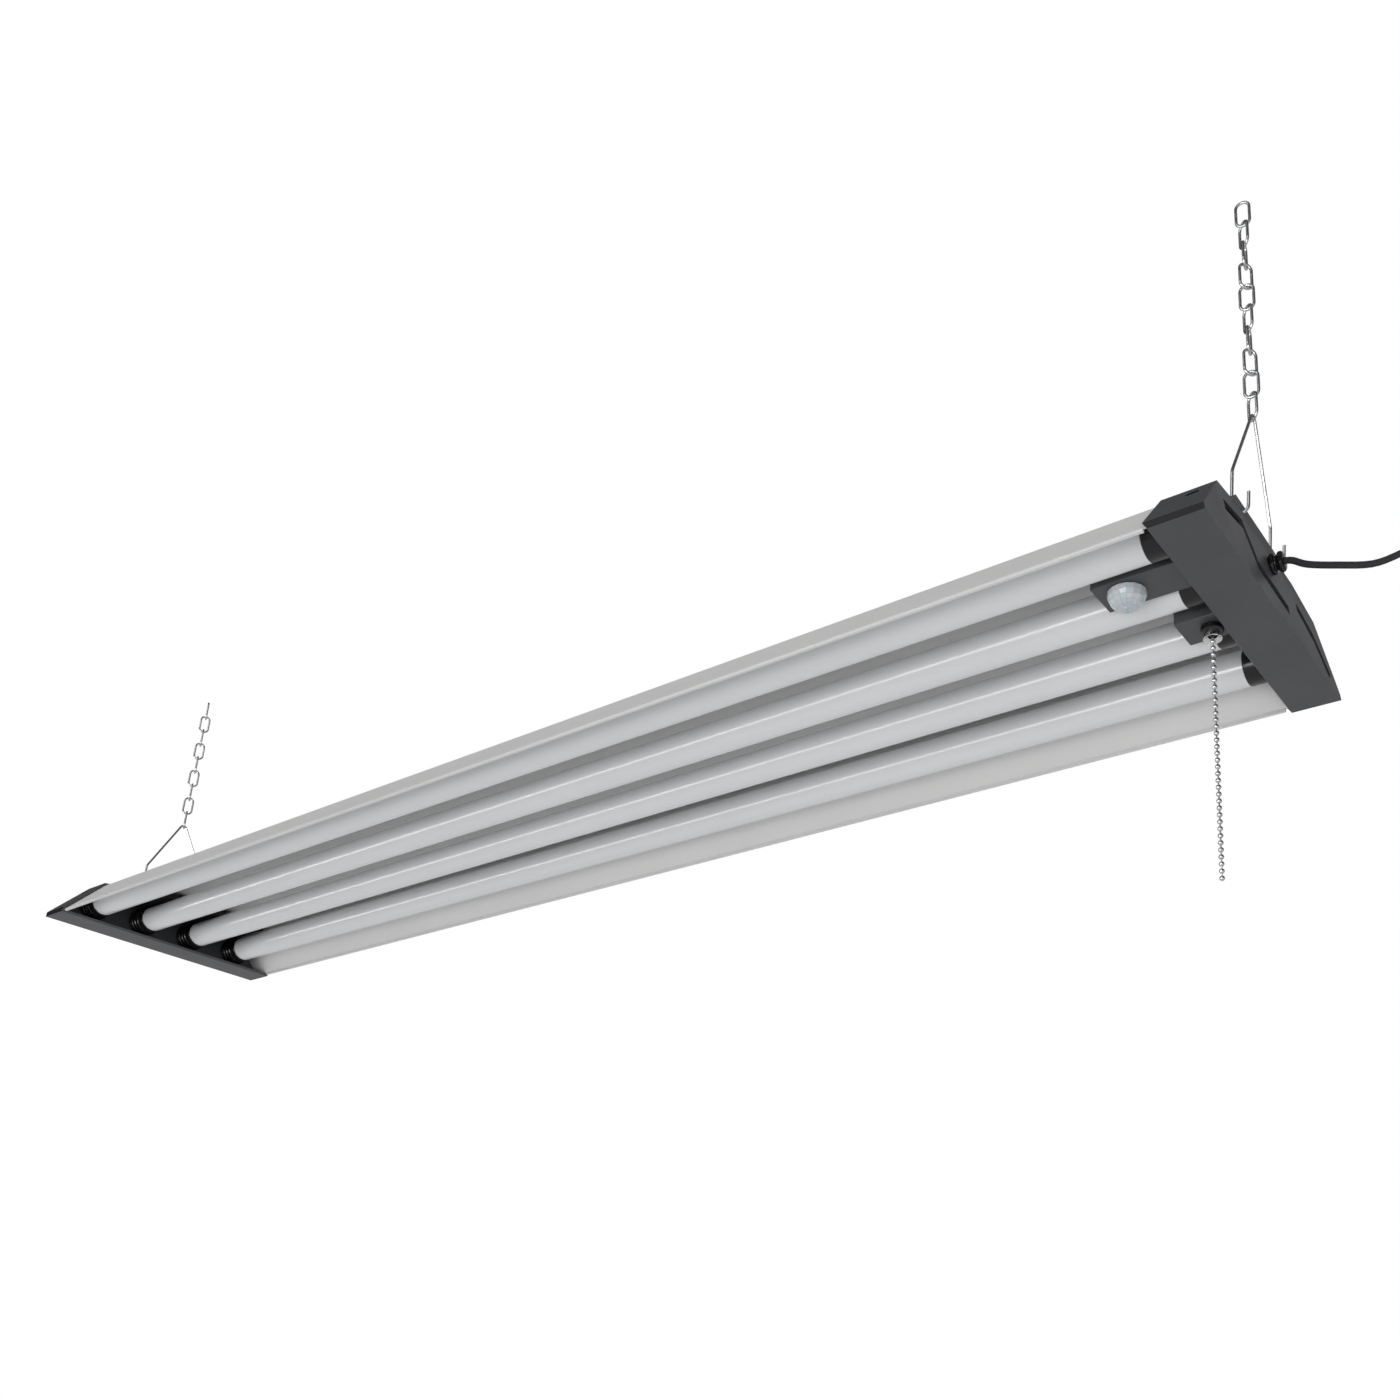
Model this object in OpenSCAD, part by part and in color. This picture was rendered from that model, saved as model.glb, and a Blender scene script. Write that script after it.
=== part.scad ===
// Hanging shop light: four opal tubes under a folded white reflector, moulded end caps,
// a movement sensor, a pull-chain switch and two wire hangers on link chains.
// +X runs along the fixture to the cord end, -Y is the sensor side, +Z is up.
// The frame's origin lies midway between the two ceiling hooks.
// Heights below are measured from the caps' flat underside and lowered by hook_h.

/* [Fixture] */
// Overall length over the end caps
fixture_l = 1220; // [1100:10:1500]
// Overall width over the end caps
fixture_w = 230; // [222:1:244]
// Run of a sloping side wall, from the cap's side in to the hip
side_run = 33; // [30:1:36]
// Height of the hip
hip_h = 41; // [40:0.5:44]
// Height of the roof beside the raised centre
roof_h = 46; // [45:0.5:50]
// Height of the caps' upright lower lip
lip_h = 4.5; // [3:0.5:6]
// Running and assembly gap between neighbouring pieces
fit_gap = 0.3; // [0.2:0.05:0.4]

/* [End caps] */
// Length of a cap's flat bottom strip
cap_l = 32; // [30:0.5:40]
// Height of the caps' raised centre block
block_h = 60; // [58:0.5:66]
// Half width of the raised centre block
block_half = 41; // [39:0.5:44]
// Wall thickness of the caps
cap_wall = 2.2; // [1.8:0.1:2.4]
// How far the end face leans in at the height of the hip
end_draft = 5; // [3:0.5:6]
// Distance of the block's end wall from the cap's end
block_setback = 9; // [8:0.5:11]
// How far the top of a cap's open side reaches out over the reflector
mouth_lean = 7; // [3:0.5:8]
// How far the open side reaches out at the lip's top
mouth_reach = 3; // [0:0.5:4]
// Distance from a cap's end to its inner bulkhead
bulkhead_setback = 13.5; // [13:0.25:14.5]
// Height of the bulkhead
bulkhead_h = 35; // [32:0.5:36]
// Width of the long slots in the end face
groove_w = 6.5; // [4:0.25:7]
// Length of the snap slot in each side wall
snap_slot_l = 7; // [6:0.5:12]
// Height of the snap slot
snap_slot_h = 5; // [3:0.5:7]
// Distance from the side wall's top down to the snap slot
snap_slot_drop = 10; // [8:0.5:12]
// Radius of the cap screws
screw_r = 1.5; // [1.2:0.1:1.8]
// Length of a cap screw's shank
screw_l = 6; // [5:0.25:7]
// Distance of the cap screws from the cap's end
screw_setback = 18; // [17.5:0.25:19]

/* [Housing] */
// Thickness of the sheet metal
sheet_t = 1; // [0.8:0.1:1.2]
// Overhang of the folded hem beyond the sheet
hem_w = 1; // [0.8:0.1:2]
// Height of the folded hem
hem_h = 1.4; // [1:0.1:3]
// Height of the hem's underside above the caps' underside
hem_lift = 0.7; // [0.5:0.1:1]
// Distance from a cap's end to the sheet's end
sheet_setback = 12; // [11.8:0.1:13]
// Width of the wire notch in each end of the roof
notch_w = 18; // [14:0.5:24]
// Length of the wire notch
notch_l = 10; // [8:0.5:14]
// Distance from a cap's end to the top channel's end
channel_setback = 21; // [20:0.5:26]

/* [Tubes] */
// Outer radius of a tube
tube_r = 12.4; // [11.8:0.1:12.6]
// Distance from the cap's side to the outer tube's centre
tube_inset = 36.4; // [36.3:0.1:38]
// Height of the tubes' axes
tube_h = 20; // [19:0.25:20.5]
// Wall thickness of a tube
tube_wall = 1; // [0.8:0.1:1.2]
// Length of a right-hand collar that shows outside the cap
collar_show_right = 15; // [10:0.5:18]
// Length of a left-hand collar that shows outside the cap
collar_show_left = 7; // [5:0.5:12]
// How much wider than the tube a collar is
collar_lip = 0.3; // [0.1:0.05:0.4]
// Length of the collar's spigot inside the tube
spigot_l = 8; // [6:0.5:10]
// Radius of the wire bore through a collar
socket_bore_r = 4; // [3:0.25:5]
// Thickness of a lamp board
board_t = 1.6; // [1.2:0.1:2]
// Height of a lamp board's underside above the tube's axis
board_lift = 5; // [4:0.25:5.5]
// Number of lamps on a board
led_count = 24; // [12:1:36]
// Length of a lamp
led_l = 3.5; // [2.8:0.1:4]
// Width of a lamp
led_w = 2.8; // [2.4:0.1:3.5]
// Height of a lamp
led_t = 0.8; // [0.6:0.1:1]

/* [Sensor] */
// Distance from the cap's end to the sensor plate's inboard edge
sensor_reach = 89; // [84:1:96]
// Height of the sensor plate's underside
sensor_h = 10; // [8:0.5:12]
// Distance from the cap's end to the plate's outboard end
plate_setback = 25; // [24:0.5:28]
// Distance from the cap's end to the sensor dome's centre
dome_setback = 72; // [70:0.5:74]
// Outer radius of the sensor dome
dome_r = 11.5; // [11:0.25:12]
// Wall of the sensor dome
dome_wall = 0.8; // [0.6:0.1:1]
// Wall of the sensor plate and of the switch housing
box_wall = 1.6; // [1.4:0.1:2]
// Radius of the sensor can
can_r = 4.5; // [4:0.1:5]
// Height of the sensor can
can_h = 5; // [4:0.25:6]

/* [Switch] */
// Distance from the cap's end to the switch housing's inboard edge
switch_reach = 60; // [58:0.5:64]
// Gap between the switch housing and the tubes beside it
switch_clear = 0.8; // [0.5:0.1:1.5]
// Height of the switch housing's underside
switch_h = 5.5; // [5:0.25:6.5]
// Distance from the cap's end to the pull chain
pull_setback = 41; // [40:0.5:42]
// Radius of the switch's threaded bushing
bushing_r = 4; // [3.8:0.1:4.2]
// Radius of the bushing's bore
bushing_bore_r = 2.6; // [2.4:0.05:2.7]
// Outer radius of the ring nut
nut_r = 6.9; // [6.5:0.1:7.5]
// Height of the ring nut
nut_h = 4; // [3.5:0.1:4.2]
// Outer radius of the bell mouth
bell_r = 5.7; // [5.4:0.1:6]
// Height of the bell mouth
bell_h = 4.1; // [3.8:0.1:4.4]
// Share of the housing's width that the switch's body takes
body_share = 0.615; // [0.55:0.005:0.7]
// Length of the switch's body along the fixture
switch_body_l = 16; // [14:0.5:20]
// Height of the switch's body
switch_body_h = 22; // [18:0.5:24]
// Bead radius of the pull chain
bead_r = 1.6; // [1.4:0.05:1.8]
// Distance between neighbouring beads
bead_pitch = 4.35; // [4.1:0.05:4.7]
// Number of beads with the coupling bead
bead_count = 36; // [20:1:44]
// Radius of the wire between the beads
bead_wire_r = 0.45; // [0.35:0.05:0.6]

/* [Hangers and chains] */
// Distance from a cap's end to the plumb line of its chain
hook_setback = 10; // [9.9:0.05:10.1]
// Diameter of the hanger wire
hanger_d = 2; // [1.8:0.05:2.2]
// Half distance between a hanger's legs
leg_half = 32.4; // [31:0.2:33]
// Height of the legs' bend
leg_bend_h = 84; // [78:1:90]
// Height of the wire's centre line at the hanger's top
apex_h = 143.5; // [130:1:160]
// Bend radius at the hanger's top
apex_r = 3.5; // [3.3:0.1:4]
// Bend radius of the hooks
hook_r = 4.8; // [4.6:0.1:5]
// Height of the hooks' bend centres
hook_centre_h = 58.5; // [58.3:0.1:58.7]
// Height of the hooks' free tips
hook_tip_h = 67.5; // [64:0.5:70]
// Angle by which each hook turns towards the middle
hook_turn = 12; // [8:1:14]
// Diameter of the chain wire
link_d = 1.9; // [1.7:0.05:1.95]
// Bend radius of a link's ends
link_r = 4.3; // [4.3:0.05:4.8]
// Distance between neighbouring links' centres
link_pitch = 16.8; // [16:0.1:20]
// Number of links in the right-hand chain
links_right = 10; // [5:1:16]
// Number of links in the left-hand chain
links_left = 9; // [5:1:16]

/* [Driver] */
// Length of the driver
driver_l = 240; // [180:5:300]
// Width of the driver
driver_w = 44; // [36:1:60]
// Distance from the fixture's end to the driver's near end
driver_setback = 170; // [120:5:260]
// Radius of the wires
wire_r = 1.5; // [1:0.1:1.8]

/* [Cord] */
// Diameter of the cord
cord_d = 4.6; // [4:0.1:5]
// Radius of the strain relief's flange
relief_r = 6.5; // [6:0.1:7]
// Radius of the strain relief's neck in the cap wall
relief_neck_r = 4.7; // [4.4:0.1:5]
// Height of the strain relief
relief_h = 35; // [34:0.25:36]
// Length of the strain relief outside the end face
relief_l = 9; // [7:0.5:10]
// Outer turn's radius in the coil of spare cord
coil_r = 37; // [34:0.5:38]
// Turns in each layer of the coil
coil_turns = 2; // [2:1:3]
// Width of the strap round the coil
tie_w = 8; // [6:0.5:12]
// Thickness of the strap
tie_t = 1.2; // [0.8:0.1:1.6]
// Length of the plug's body
plug_l = 32; // [28:1:38]
// Width of the plug's body
plug_w = 24; // [22:0.5:28]
// Thickness of the plug's body
plug_t = 18; // [16:0.5:22]
// Length of the plug's blades
blade_l = 17.5; // [16:0.5:19]
// Distance between the blades' middles
blade_gap = 12.7; // [12:0.1:13]
// Thickness of a blade
blade_t = 1.5; // [1.4:0.1:1.6]
// Width of the narrow blade
blade_w = 6.3; // [6:0.1:6.5]
// Width of the wide blade
wide_blade_w = 7.9; // [7.6:0.1:8.2]

/* [Hidden] */
$fn = 48;

// Overrun of every cut
over = 1;
half_l = fixture_l / 2;
half_w = fixture_w / 2;
hip_half = half_w - side_run;
tube_pitch = 2 * (half_w - tube_inset) / 3;
sensor_w = tube_pitch - 2 * (tube_r + fit_gap);
switch_w = tube_pitch - 2 * (tube_r + switch_clear);
switch_body_w = switch_w * body_share;
white = "whitesmoke";
charcoal = [0.24, 0.25, 0.27];
black = [0.04, 0.04, 0.05];
steel = [0.72, 0.73, 0.75];

// Outline helpers
function unit(v) = v / norm(v);
function left_of(v) = [-v[1], v[0]];
function shifted(a, b, d) = [a + d * left_of(unit(b - a)), b + d * left_of(unit(b - a))];
function wedge(a, b) = a[0] * b[1] - a[1] * b[0];
function meet(p, q) =
  let (u = p[1] - p[0], v = q[1] - q[0])
  p[0] + u * wedge(q[0] - p[0], v) / wedge(u, v);
// A closed outline moved inwards by d
function inset(pts, d) = [
  for (i = [0:len(pts) - 1])
    let (a = pts[(i + len(pts) - 1) % len(pts)], b = pts[i], c = pts[(i + 1) % len(pts)])
    meet(shifted(a, b, d), shifted(b, c, d))
];
// An open line moved sideways by d
function moved_line(pts, d) = [
  for (i = [0:len(pts) - 1])
    i == 0 ? shifted(pts[0], pts[1], d)[0]
    : i == len(pts) - 1 ? shifted(pts[i - 1], pts[i], d)[1]
    : meet(shifted(pts[i - 1], pts[i], d), shifted(pts[i], pts[i + 1], d))
];
function reversed(pts) = [for (i = [len(pts) - 1:-1:0]) pts[i]];

// Extrudes a Y-Z outline along X from x0 to x1
module along_x(x0, x1) {
  translate([x0, 0, 0]) rotate([90, 0, 90]) linear_extrude(height = x1 - x0) children();
}
// Extrudes an X-Z outline along Y, reach to each side
module along_y(reach) {
  rotate([90, 0, 0]) linear_extrude(height = 2 * reach, center = true) children();
}
// A straight round rod between two points
module rod(a, b, r) {
  v = b - a;
  translate(a) rotate([0, acos(v[2] / norm(v)), atan2(v[1], v[0])]) cylinder(h = norm(v), r = r);
}
// A round wire with sleeved corners along a list of points
sleeve_share = 1.2;
module wire(pts, r) {
  for (i = [0:len(pts) - 2]) rod(pts[i], pts[i + 1], r);
  for (i = [1:len(pts) - 2]) translate(pts[i]) sphere(r = r * sleeve_share);
}
// A box given by its low and high corners
module span(low, high) {
  translate(low) cube(high - low);
}

// Outer outline of the cap, and of the reflector without the centre block
cap_outline = [
  [-half_w, 0], [half_w, 0], [half_w, lip_h], [hip_half, hip_h], [block_half, roof_h],
  [block_half, block_h], [-block_half, block_h], [-block_half, roof_h],
  [-hip_half, hip_h], [-half_w, lip_h]
];
roof_outline = [
  [-half_w, 0], [half_w, 0], [half_w, lip_h], [hip_half, hip_h], [block_half, roof_h],
  [-block_half, roof_h], [-hip_half, hip_h], [-half_w, lip_h]
];
// Side view of a cap, from its open mouth to its leaning end face, at the +X end
cap_side = [
  [half_l - cap_l, 0], [half_l, 0], [half_l - end_draft, hip_h],
  [half_l - end_draft, roof_h], [half_l - block_setback, roof_h],
  [half_l - block_setback, block_h], [half_l - cap_l - mouth_lean, block_h],
  [half_l - cap_l - mouth_reach, lip_h]
];
// Inside of the cap in the same view, run out past the open mouth
cap_side_inner = concat(
  [[half_l - cap_l - mouth_lean - over, 0]],
  [for (i = [1:5]) inset(cap_side, cap_wall)[i]],
  [[half_l - cap_l - mouth_lean - over, block_h]]
);
sheet_gap = cap_wall + fit_gap;
sheet_line = moved_line(
  [for (i = [2:7]) roof_outline[i]], sheet_gap
);
// Under side of the reflector's roof at a distance y from the middle
function roof_under(y) =
  let (line = moved_line([for (i = [2:7]) roof_outline[i]], sheet_gap + sheet_t),
       a = line[1], b = line[2])
  abs(y) < b[0] ? b[1] : a[1] + (abs(y) - a[0]) * (b[1] - a[1]) / (b[0] - a[0]);
roof_top = sheet_line[2][1];
roof_lean = atan((roof_h - hip_h) / (hip_half - block_half));

bulkhead_x = half_l - bulkhead_setback;
bulkhead_face = bulkhead_x - cap_wall;
screw_x = half_l - screw_setback;
screw_y = (hip_half + block_half) / 2;
screw_z = (hip_h + roof_h) / 2;
screw_head_share = 2;
hook_x = half_l - hook_setback;
leg_x = hook_x - hook_r;
// Slot and notch in the cap's block for one hook
hook_clear = 0.7;
slot_play = 1.4;
hook_drop = 2.2;
slot_half_l = hanger_d / 2 + slot_play;
slot_half_w = hanger_d / 2 + hook_clear;
hook_notch_top = hook_centre_h - hook_r + hanger_d / 2 + hook_clear;
hook_notch_low = hook_centre_h - hook_r - hanger_d / 2 - hook_drop;
hook_notch_half = hanger_d / 2 + slot_play;
hook_mid_y = leg_half - hook_r * sin(hook_turn);
hanger_tilt = atan(hook_r / (apex_h - hook_centre_h));

// Long slots of the end face as lines of Y-Z points, as shares of half width and hip height
slot_long_shares = [[-0.66, 0.71], [-0.40, 0.85], [-0.24, 0.44], [0.20, 0.39]];
slot_short_shares = [[0.38, 0.76], [0.63, 0.58], [0.84, 0.2]];

module end_slot(shares) {
  line = [for (p = shares) [p[0] * half_w, p[1] * hip_h]];
  low = moved_line(line, -groove_w / 2);
  high = moved_line(line, groove_w / 2);
  along_x(half_l - end_draft - cap_wall - over, half_l + over) polygon(concat(low, reversed(high)));
}

// Screws through the cap's roof, on both sides of the block
module at_screws() {
  for (side = [-1, 1])
    translate([screw_x, side * screw_y, screw_z]) rotate([-side * roof_lean, 0, 0]) children();
}

// One cap at the +X end: shell, bulkhead and all its openings
module cap_shell() {
  difference() {
    intersection() {
      along_x(half_l - cap_l - mouth_lean, half_l) polygon(cap_outline);
      along_y(fixture_w) polygon(cap_side);
    }
    intersection() {
      along_x(half_l - cap_l - mouth_lean - over, half_l) polygon(inset(cap_outline, cap_wall));
      along_y(fixture_w) polygon(cap_side_inner);
    }
    end_slot(slot_long_shares);
    end_slot(slot_short_shares);
    at_screws() cylinder(h = 2 * screw_l, r = screw_r + fit_gap / 2, center = true);
    for (side = [-1, 1]) {
      span([leg_x - slot_half_l, side * leg_half - slot_half_w, block_h - cap_wall - over],
           [leg_x + slot_half_l, side * leg_half + slot_half_w, block_h + over]);
      span([half_l - block_setback - cap_wall - over, side * hook_mid_y - hook_notch_half, hook_notch_low],
           [half_l - block_setback + over, side * hook_mid_y + hook_notch_half, hook_notch_top]);
      snap_slot(side);
    }
  }
  bulkhead();
}

// A slot through the sloping side wall, near its top; past reaches on towards the end face
module snap_slot(side, past = 0) {
  slope = atan((half_w - hip_half) / (hip_h - lip_h));
  reach = cap_wall + sheet_gap + 2 * sheet_t;
  translate([half_l - cap_l / 2, side * hip_half, hip_h])
    rotate([side * slope, 0, 0])
      span([-snap_slot_l / 2, -reach, -snap_slot_drop - snap_slot_h],
           [snap_slot_l / 2 + past, reach, -snap_slot_drop]);
}

// Upright rib that carries the tube sockets and lets their wires pass
module bulkhead() {
  difference() {
    along_x(bulkhead_face, bulkhead_x) intersection() {
      polygon(moved_line([for (i = [2:7]) roof_outline[i]], sheet_gap + sheet_t + fit_gap));
      translate([-half_w, 0]) square([fixture_w, bulkhead_h]);
    }
    for (i = [1:4])
      translate([bulkhead_face - over, tube_y(i), tube_h]) rotate([0, 90, 0])
        cylinder(h = cap_wall + 2 * over, r = socket_bore_r);
  }
}

function tube_y(i) = (i - 2.5) * tube_pitch;
function side_name(side) = side < 0 ? "left" : "right";

module end_cap_right() {
  color(charcoal) difference() {
    cap_shell();
    translate([half_l - block_setback, 0, relief_h]) rotate([0, 90, 0])
      cylinder(h = block_setback, r = relief_neck_r + fit_gap);
  }
}
module end_cap_left() {
  color(charcoal) mirror([1, 0, 0]) cap_shell();
}

module cap_screw() {
  cylinder(h = screw_r, r1 = screw_r * screw_head_share, r2 = screw_r);
  translate([0, 0, -screw_l]) cylinder(h = screw_l, r = screw_r);
}
module cap_screws_right() {
  color(steel) at_screws() cap_screw();
}
module cap_screws_left() {
  color(steel) mirror([1, 0, 0]) at_screws() cap_screw();
}

// One folded sheet: reflector, hems and the notches for wires and screws
module housing() {
  sheet_x = half_l - sheet_setback;
  hem_x = half_l - cap_l - mouth_reach - fit_gap
    - (mouth_lean - mouth_reach) * (hem_lift + hem_h + hem_w - lip_h) / (block_h - lip_h);
  edge_y = half_w - sheet_gap;
  color(white) difference() {
    union() {
      along_x(-sheet_x, sheet_x) polygon(concat(sheet_line, reversed(moved_line(sheet_line, sheet_t))));
      for (side = [-1, 1])
        along_x(-hem_x, hem_x) translate([side * edge_y, 0]) mirror([side < 0 ? 1 : 0, 0]) polygon([
          [-sheet_t, hem_lift], [hem_w, hem_lift], [hem_w, hem_lift + hem_h],
          [0, hem_lift + hem_h + hem_w], [-sheet_t, hem_lift + hem_h + hem_w]
        ]);
    }
    for (end = [-1, 1]) {
      span([end < 0 ? -half_l : hem_x, -half_w, -over],
           [end < 0 ? -hem_x : half_l, half_w, sheet_gap]);
      span([end < 0 ? -half_l : sheet_x - notch_l, -notch_w / 2, hip_h],
           [end < 0 ? -sheet_x + notch_l : half_l, notch_w / 2, roof_h]);
      mirror([end < 0 ? 1 : 0, 0, 0]) at_screws()
        cylinder(h = 2 * screw_l, r = screw_r + fit_gap / 2, center = true);
      for (side = [-1, 1]) mirror([end < 0 ? 1 : 0, 0, 0]) snap_slot(side, cap_l / 2);
    }
  }
}

// Raised cover over the driver, ending inside the caps' blocks
channel_half = block_half - sheet_gap;
channel_top = block_h - sheet_gap;
channel_x = half_l - channel_setback;
module top_channel() {
  line = [
    [channel_half, roof_top + fit_gap], [channel_half, channel_top],
    [-channel_half, channel_top], [-channel_half, roof_top + fit_gap]
  ];
  color(white) along_x(-channel_x, channel_x)
    polygon(concat(line, reversed(moved_line(line, sheet_t))));
}

driver_low = roof_top + fit_gap;
driver_high = channel_top - sheet_t - fit_gap;
driver_mid = (driver_low + driver_high) / 2;
driver_end = half_l - driver_setback;
module driver() {
  color("silver") difference() {
    span([driver_end - driver_l, -driver_w / 2, driver_low], [driver_end, driver_w / 2, driver_high]);
    for (side = [-1, 1])
      translate([driver_end - cap_wall, side * 2 * wire_r, driver_mid])
        rotate([0, 90, 0]) cylinder(h = cap_wall + over, r = wire_r + fit_gap / 2);
  }
}

// Wires rise behind the bulkhead, through the roof's notch, to the driver
wire_x = (bulkhead_x + half_l - end_draft - cap_wall) / 2;
notch_x = half_l - sheet_setback - notch_l / 2;
module supply_wires() {
  y = -2 * wire_r;
  color("dimgray") wire([
    [half_l - block_setback, y, relief_h], [wire_x, y, relief_h],
    [notch_x, y, driver_mid - wire_r],
    [driver_end - cap_wall + fit_gap, y, driver_mid]
  ], wire_r);
}
module lamp_wires() {
  y = 2 * wire_r;
  bus = wire_x;
  color("gainsboro") {
    wire([
      [bus, tube_y(1), tube_h], [bus, tube_y(4), tube_h]
    ], wire_r);
    for (i = [1:4]) {
      rod([bulkhead_face - spigot_l, tube_y(i), tube_h], [bus, tube_y(i), tube_h], wire_r);
      translate([bus, tube_y(i), tube_h]) sphere(r = wire_r * sleeve_share);
    }
    translate([bus, y, tube_h]) sphere(r = wire_r * sleeve_share);
    wire([
      [bus, y, tube_h], [bus, y, relief_h], [notch_x, y, driver_mid - wire_r],
      [driver_end - cap_wall + fit_gap, y, driver_mid]
    ], wire_r);
  }
}

// Tubes with their boards and lamps
tube_x0 = -half_l + cap_l + collar_show_left;
tube_x1 = half_l - cap_l - collar_show_right;
tube_in_r = tube_r - tube_wall;
board_half = sqrt(tube_in_r * tube_in_r - (board_lift + board_t) * (board_lift + board_t)) - fit_gap / 2;
module tube(i) {
  color("white") translate([tube_x0 + fit_gap, tube_y(i), tube_h]) rotate([0, 90, 0]) difference() {
    cylinder(h = tube_x1 - tube_x0 - 2 * fit_gap, r = tube_r, $fn = 64);
    translate([0, 0, -over]) cylinder(h = tube_x1 - tube_x0 + over, r = tube_in_r, $fn = 64);
  }
}
board_x0 = tube_x0 + spigot_l + fit_gap;
board_x1 = tube_x1 - spigot_l - fit_gap;
module led_board(i) {
  color("lightgray")
    span([board_x0, tube_y(i) - board_half, tube_h + board_lift],
         [board_x1, tube_y(i) + board_half, tube_h + board_lift + board_t]);
}
module led_row(i) {
  step = (board_x1 - board_x0) / led_count;
  color("khaki") for (k = [0:led_count - 1])
    translate([board_x0 + (k + 0.5) * step, tube_y(i), tube_h + board_lift - led_t / 2])
      cube([led_l, led_w, led_t], center = true);
}
// A collar with its spigot, at the +X end, show long outside the cap
module socket(i, show) {
  face_x = half_l - cap_l - show;
  color(black) translate([face_x, tube_y(i), tube_h]) rotate([0, 90, 0]) difference() {
    union() {
      cylinder(h = bulkhead_face - fit_gap - face_x, r = tube_r + collar_lip, $fn = 64);
      translate([0, 0, -spigot_l]) cylinder(h = spigot_l + over, r = tube_in_r - fit_gap / 2, $fn = 64);
    }
    translate([0, 0, -spigot_l - over])
      cylinder(h = bulkhead_face - face_x + spigot_l + 2 * over, r = socket_bore_r);
  }
}

// Cover over the wiring at the left end, against the reflector's roof
module base_cover_left() {
  half = hip_half - block_setback;
  high = roof_under(half) - fit_gap;
  color(black)
    span([-half_l + plate_setback, -half, tube_h + tube_r + 2 * fit_gap],
         [-half_l + plate_setback + cap_l + spigot_l + block_setback + end_draft + fit_gap, half, high]);
}

// Open-topped boxes under the roof for the sensor and for the switch
sensor_y = (tube_y(1) + tube_y(2)) / 2;
sensor_x = half_l - dome_setback;
sensor_top = roof_under(sensor_y - sensor_w / 2) - fit_gap;
neck_r = dome_r - dome_wall - fit_gap;
module sensor_plate() {
  low = [half_l - sensor_reach, sensor_y - sensor_w / 2, sensor_h];
  high = [half_l - plate_setback, sensor_y + sensor_w / 2, sensor_top];
  wall = [box_wall, box_wall, box_wall];
  color(charcoal) difference() {
    span(low, high);
    span(low + wall, high - [box_wall, box_wall, -over]);
    translate([sensor_x, sensor_y, sensor_h - over]) cylinder(h = box_wall + 2 * over, r = neck_r + fit_gap);
  }
}
module sensor_dome() {
  color([0.95, 0.95, 0.95]) translate([sensor_x, sensor_y, sensor_h - fit_gap]) difference() {
    union() {
      intersection() {
        sphere(r = dome_r, $fn = 64);
        translate([0, 0, -dome_r]) cylinder(h = dome_r, r = dome_r + over);
      }
      cylinder(h = box_wall + 2 * fit_gap + dome_wall, r = neck_r);
    }
    sphere(r = dome_r - dome_wall - fit_gap - dome_wall, $fn = 64);
    cylinder(h = dome_r, r = neck_r - dome_wall);
  }
}
can_low = sensor_h + box_wall + dome_wall;
module sensor_can() {
  color(steel) translate([sensor_x, sensor_y, can_low]) cylinder(h = can_h, r = can_r);
}
module sensor_board() {
  half = sensor_w / 2 - box_wall - fit_gap;
  color("darkgreen") span([sensor_x - dome_r, sensor_y - half, can_low + can_h],
                          [sensor_x + dome_r, sensor_y + half, can_low + can_h + board_t]);
}

pull_x = half_l - pull_setback;
switch_top = roof_under(0) - fit_gap;
module switch_housing() {
  low = [half_l - switch_reach, -switch_w / 2, switch_h];
  high = [half_l - plate_setback, switch_w / 2, switch_top];
  wall = [box_wall, box_wall, box_wall];
  color(charcoal) difference() {
    span(low, high);
    span(low + wall, high - [box_wall, box_wall, -over]);
    translate([pull_x, 0, switch_h - over]) cylinder(h = box_wall + 2 * over, r = bushing_r + fit_gap);
  }
}
body_low = switch_h + box_wall + fit_gap;
nut_top = switch_h - fit_gap;
bell_top = nut_top - nut_h - fit_gap;
bell_low = bell_top - bell_h;
bushing_low = bell_top - bell_h / 2;
module switch_body() {
  color(black) difference() {
    union() {
      translate([pull_x, 0, body_low + switch_body_h / 2])
        cube([switch_body_l, switch_body_w, switch_body_h], center = true);
      translate([pull_x, 0, bushing_low]) cylinder(h = body_low - bushing_low + over, r = bushing_r);
    }
    translate([pull_x, 0, bushing_low - over])
      cylinder(h = body_low + switch_body_h - bushing_low - box_wall, r = bushing_bore_r);
  }
}
module switch_nut() {
  color(black) translate([pull_x, 0, nut_top - nut_h]) difference() {
    cylinder(h = nut_h, r = nut_r, $fn = 64);
    translate([0, 0, -over]) cylinder(h = nut_h + 2 * over, r = bushing_r + fit_gap / 2);
  }
}
module switch_bell() {
  in_r = bushing_r + fit_gap / 2;
  rim = bell_r - in_r;
  color("silver") translate([pull_x, 0, bell_low]) rotate_extrude($fn = 64) polygon([
    [in_r, bell_h], [in_r + rim / 2, bell_h], [bell_r, bell_h / 2], [bell_r, 0],
    [in_r + rim / 3, 0], [in_r, bell_h / 3]
  ]);
}
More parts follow.
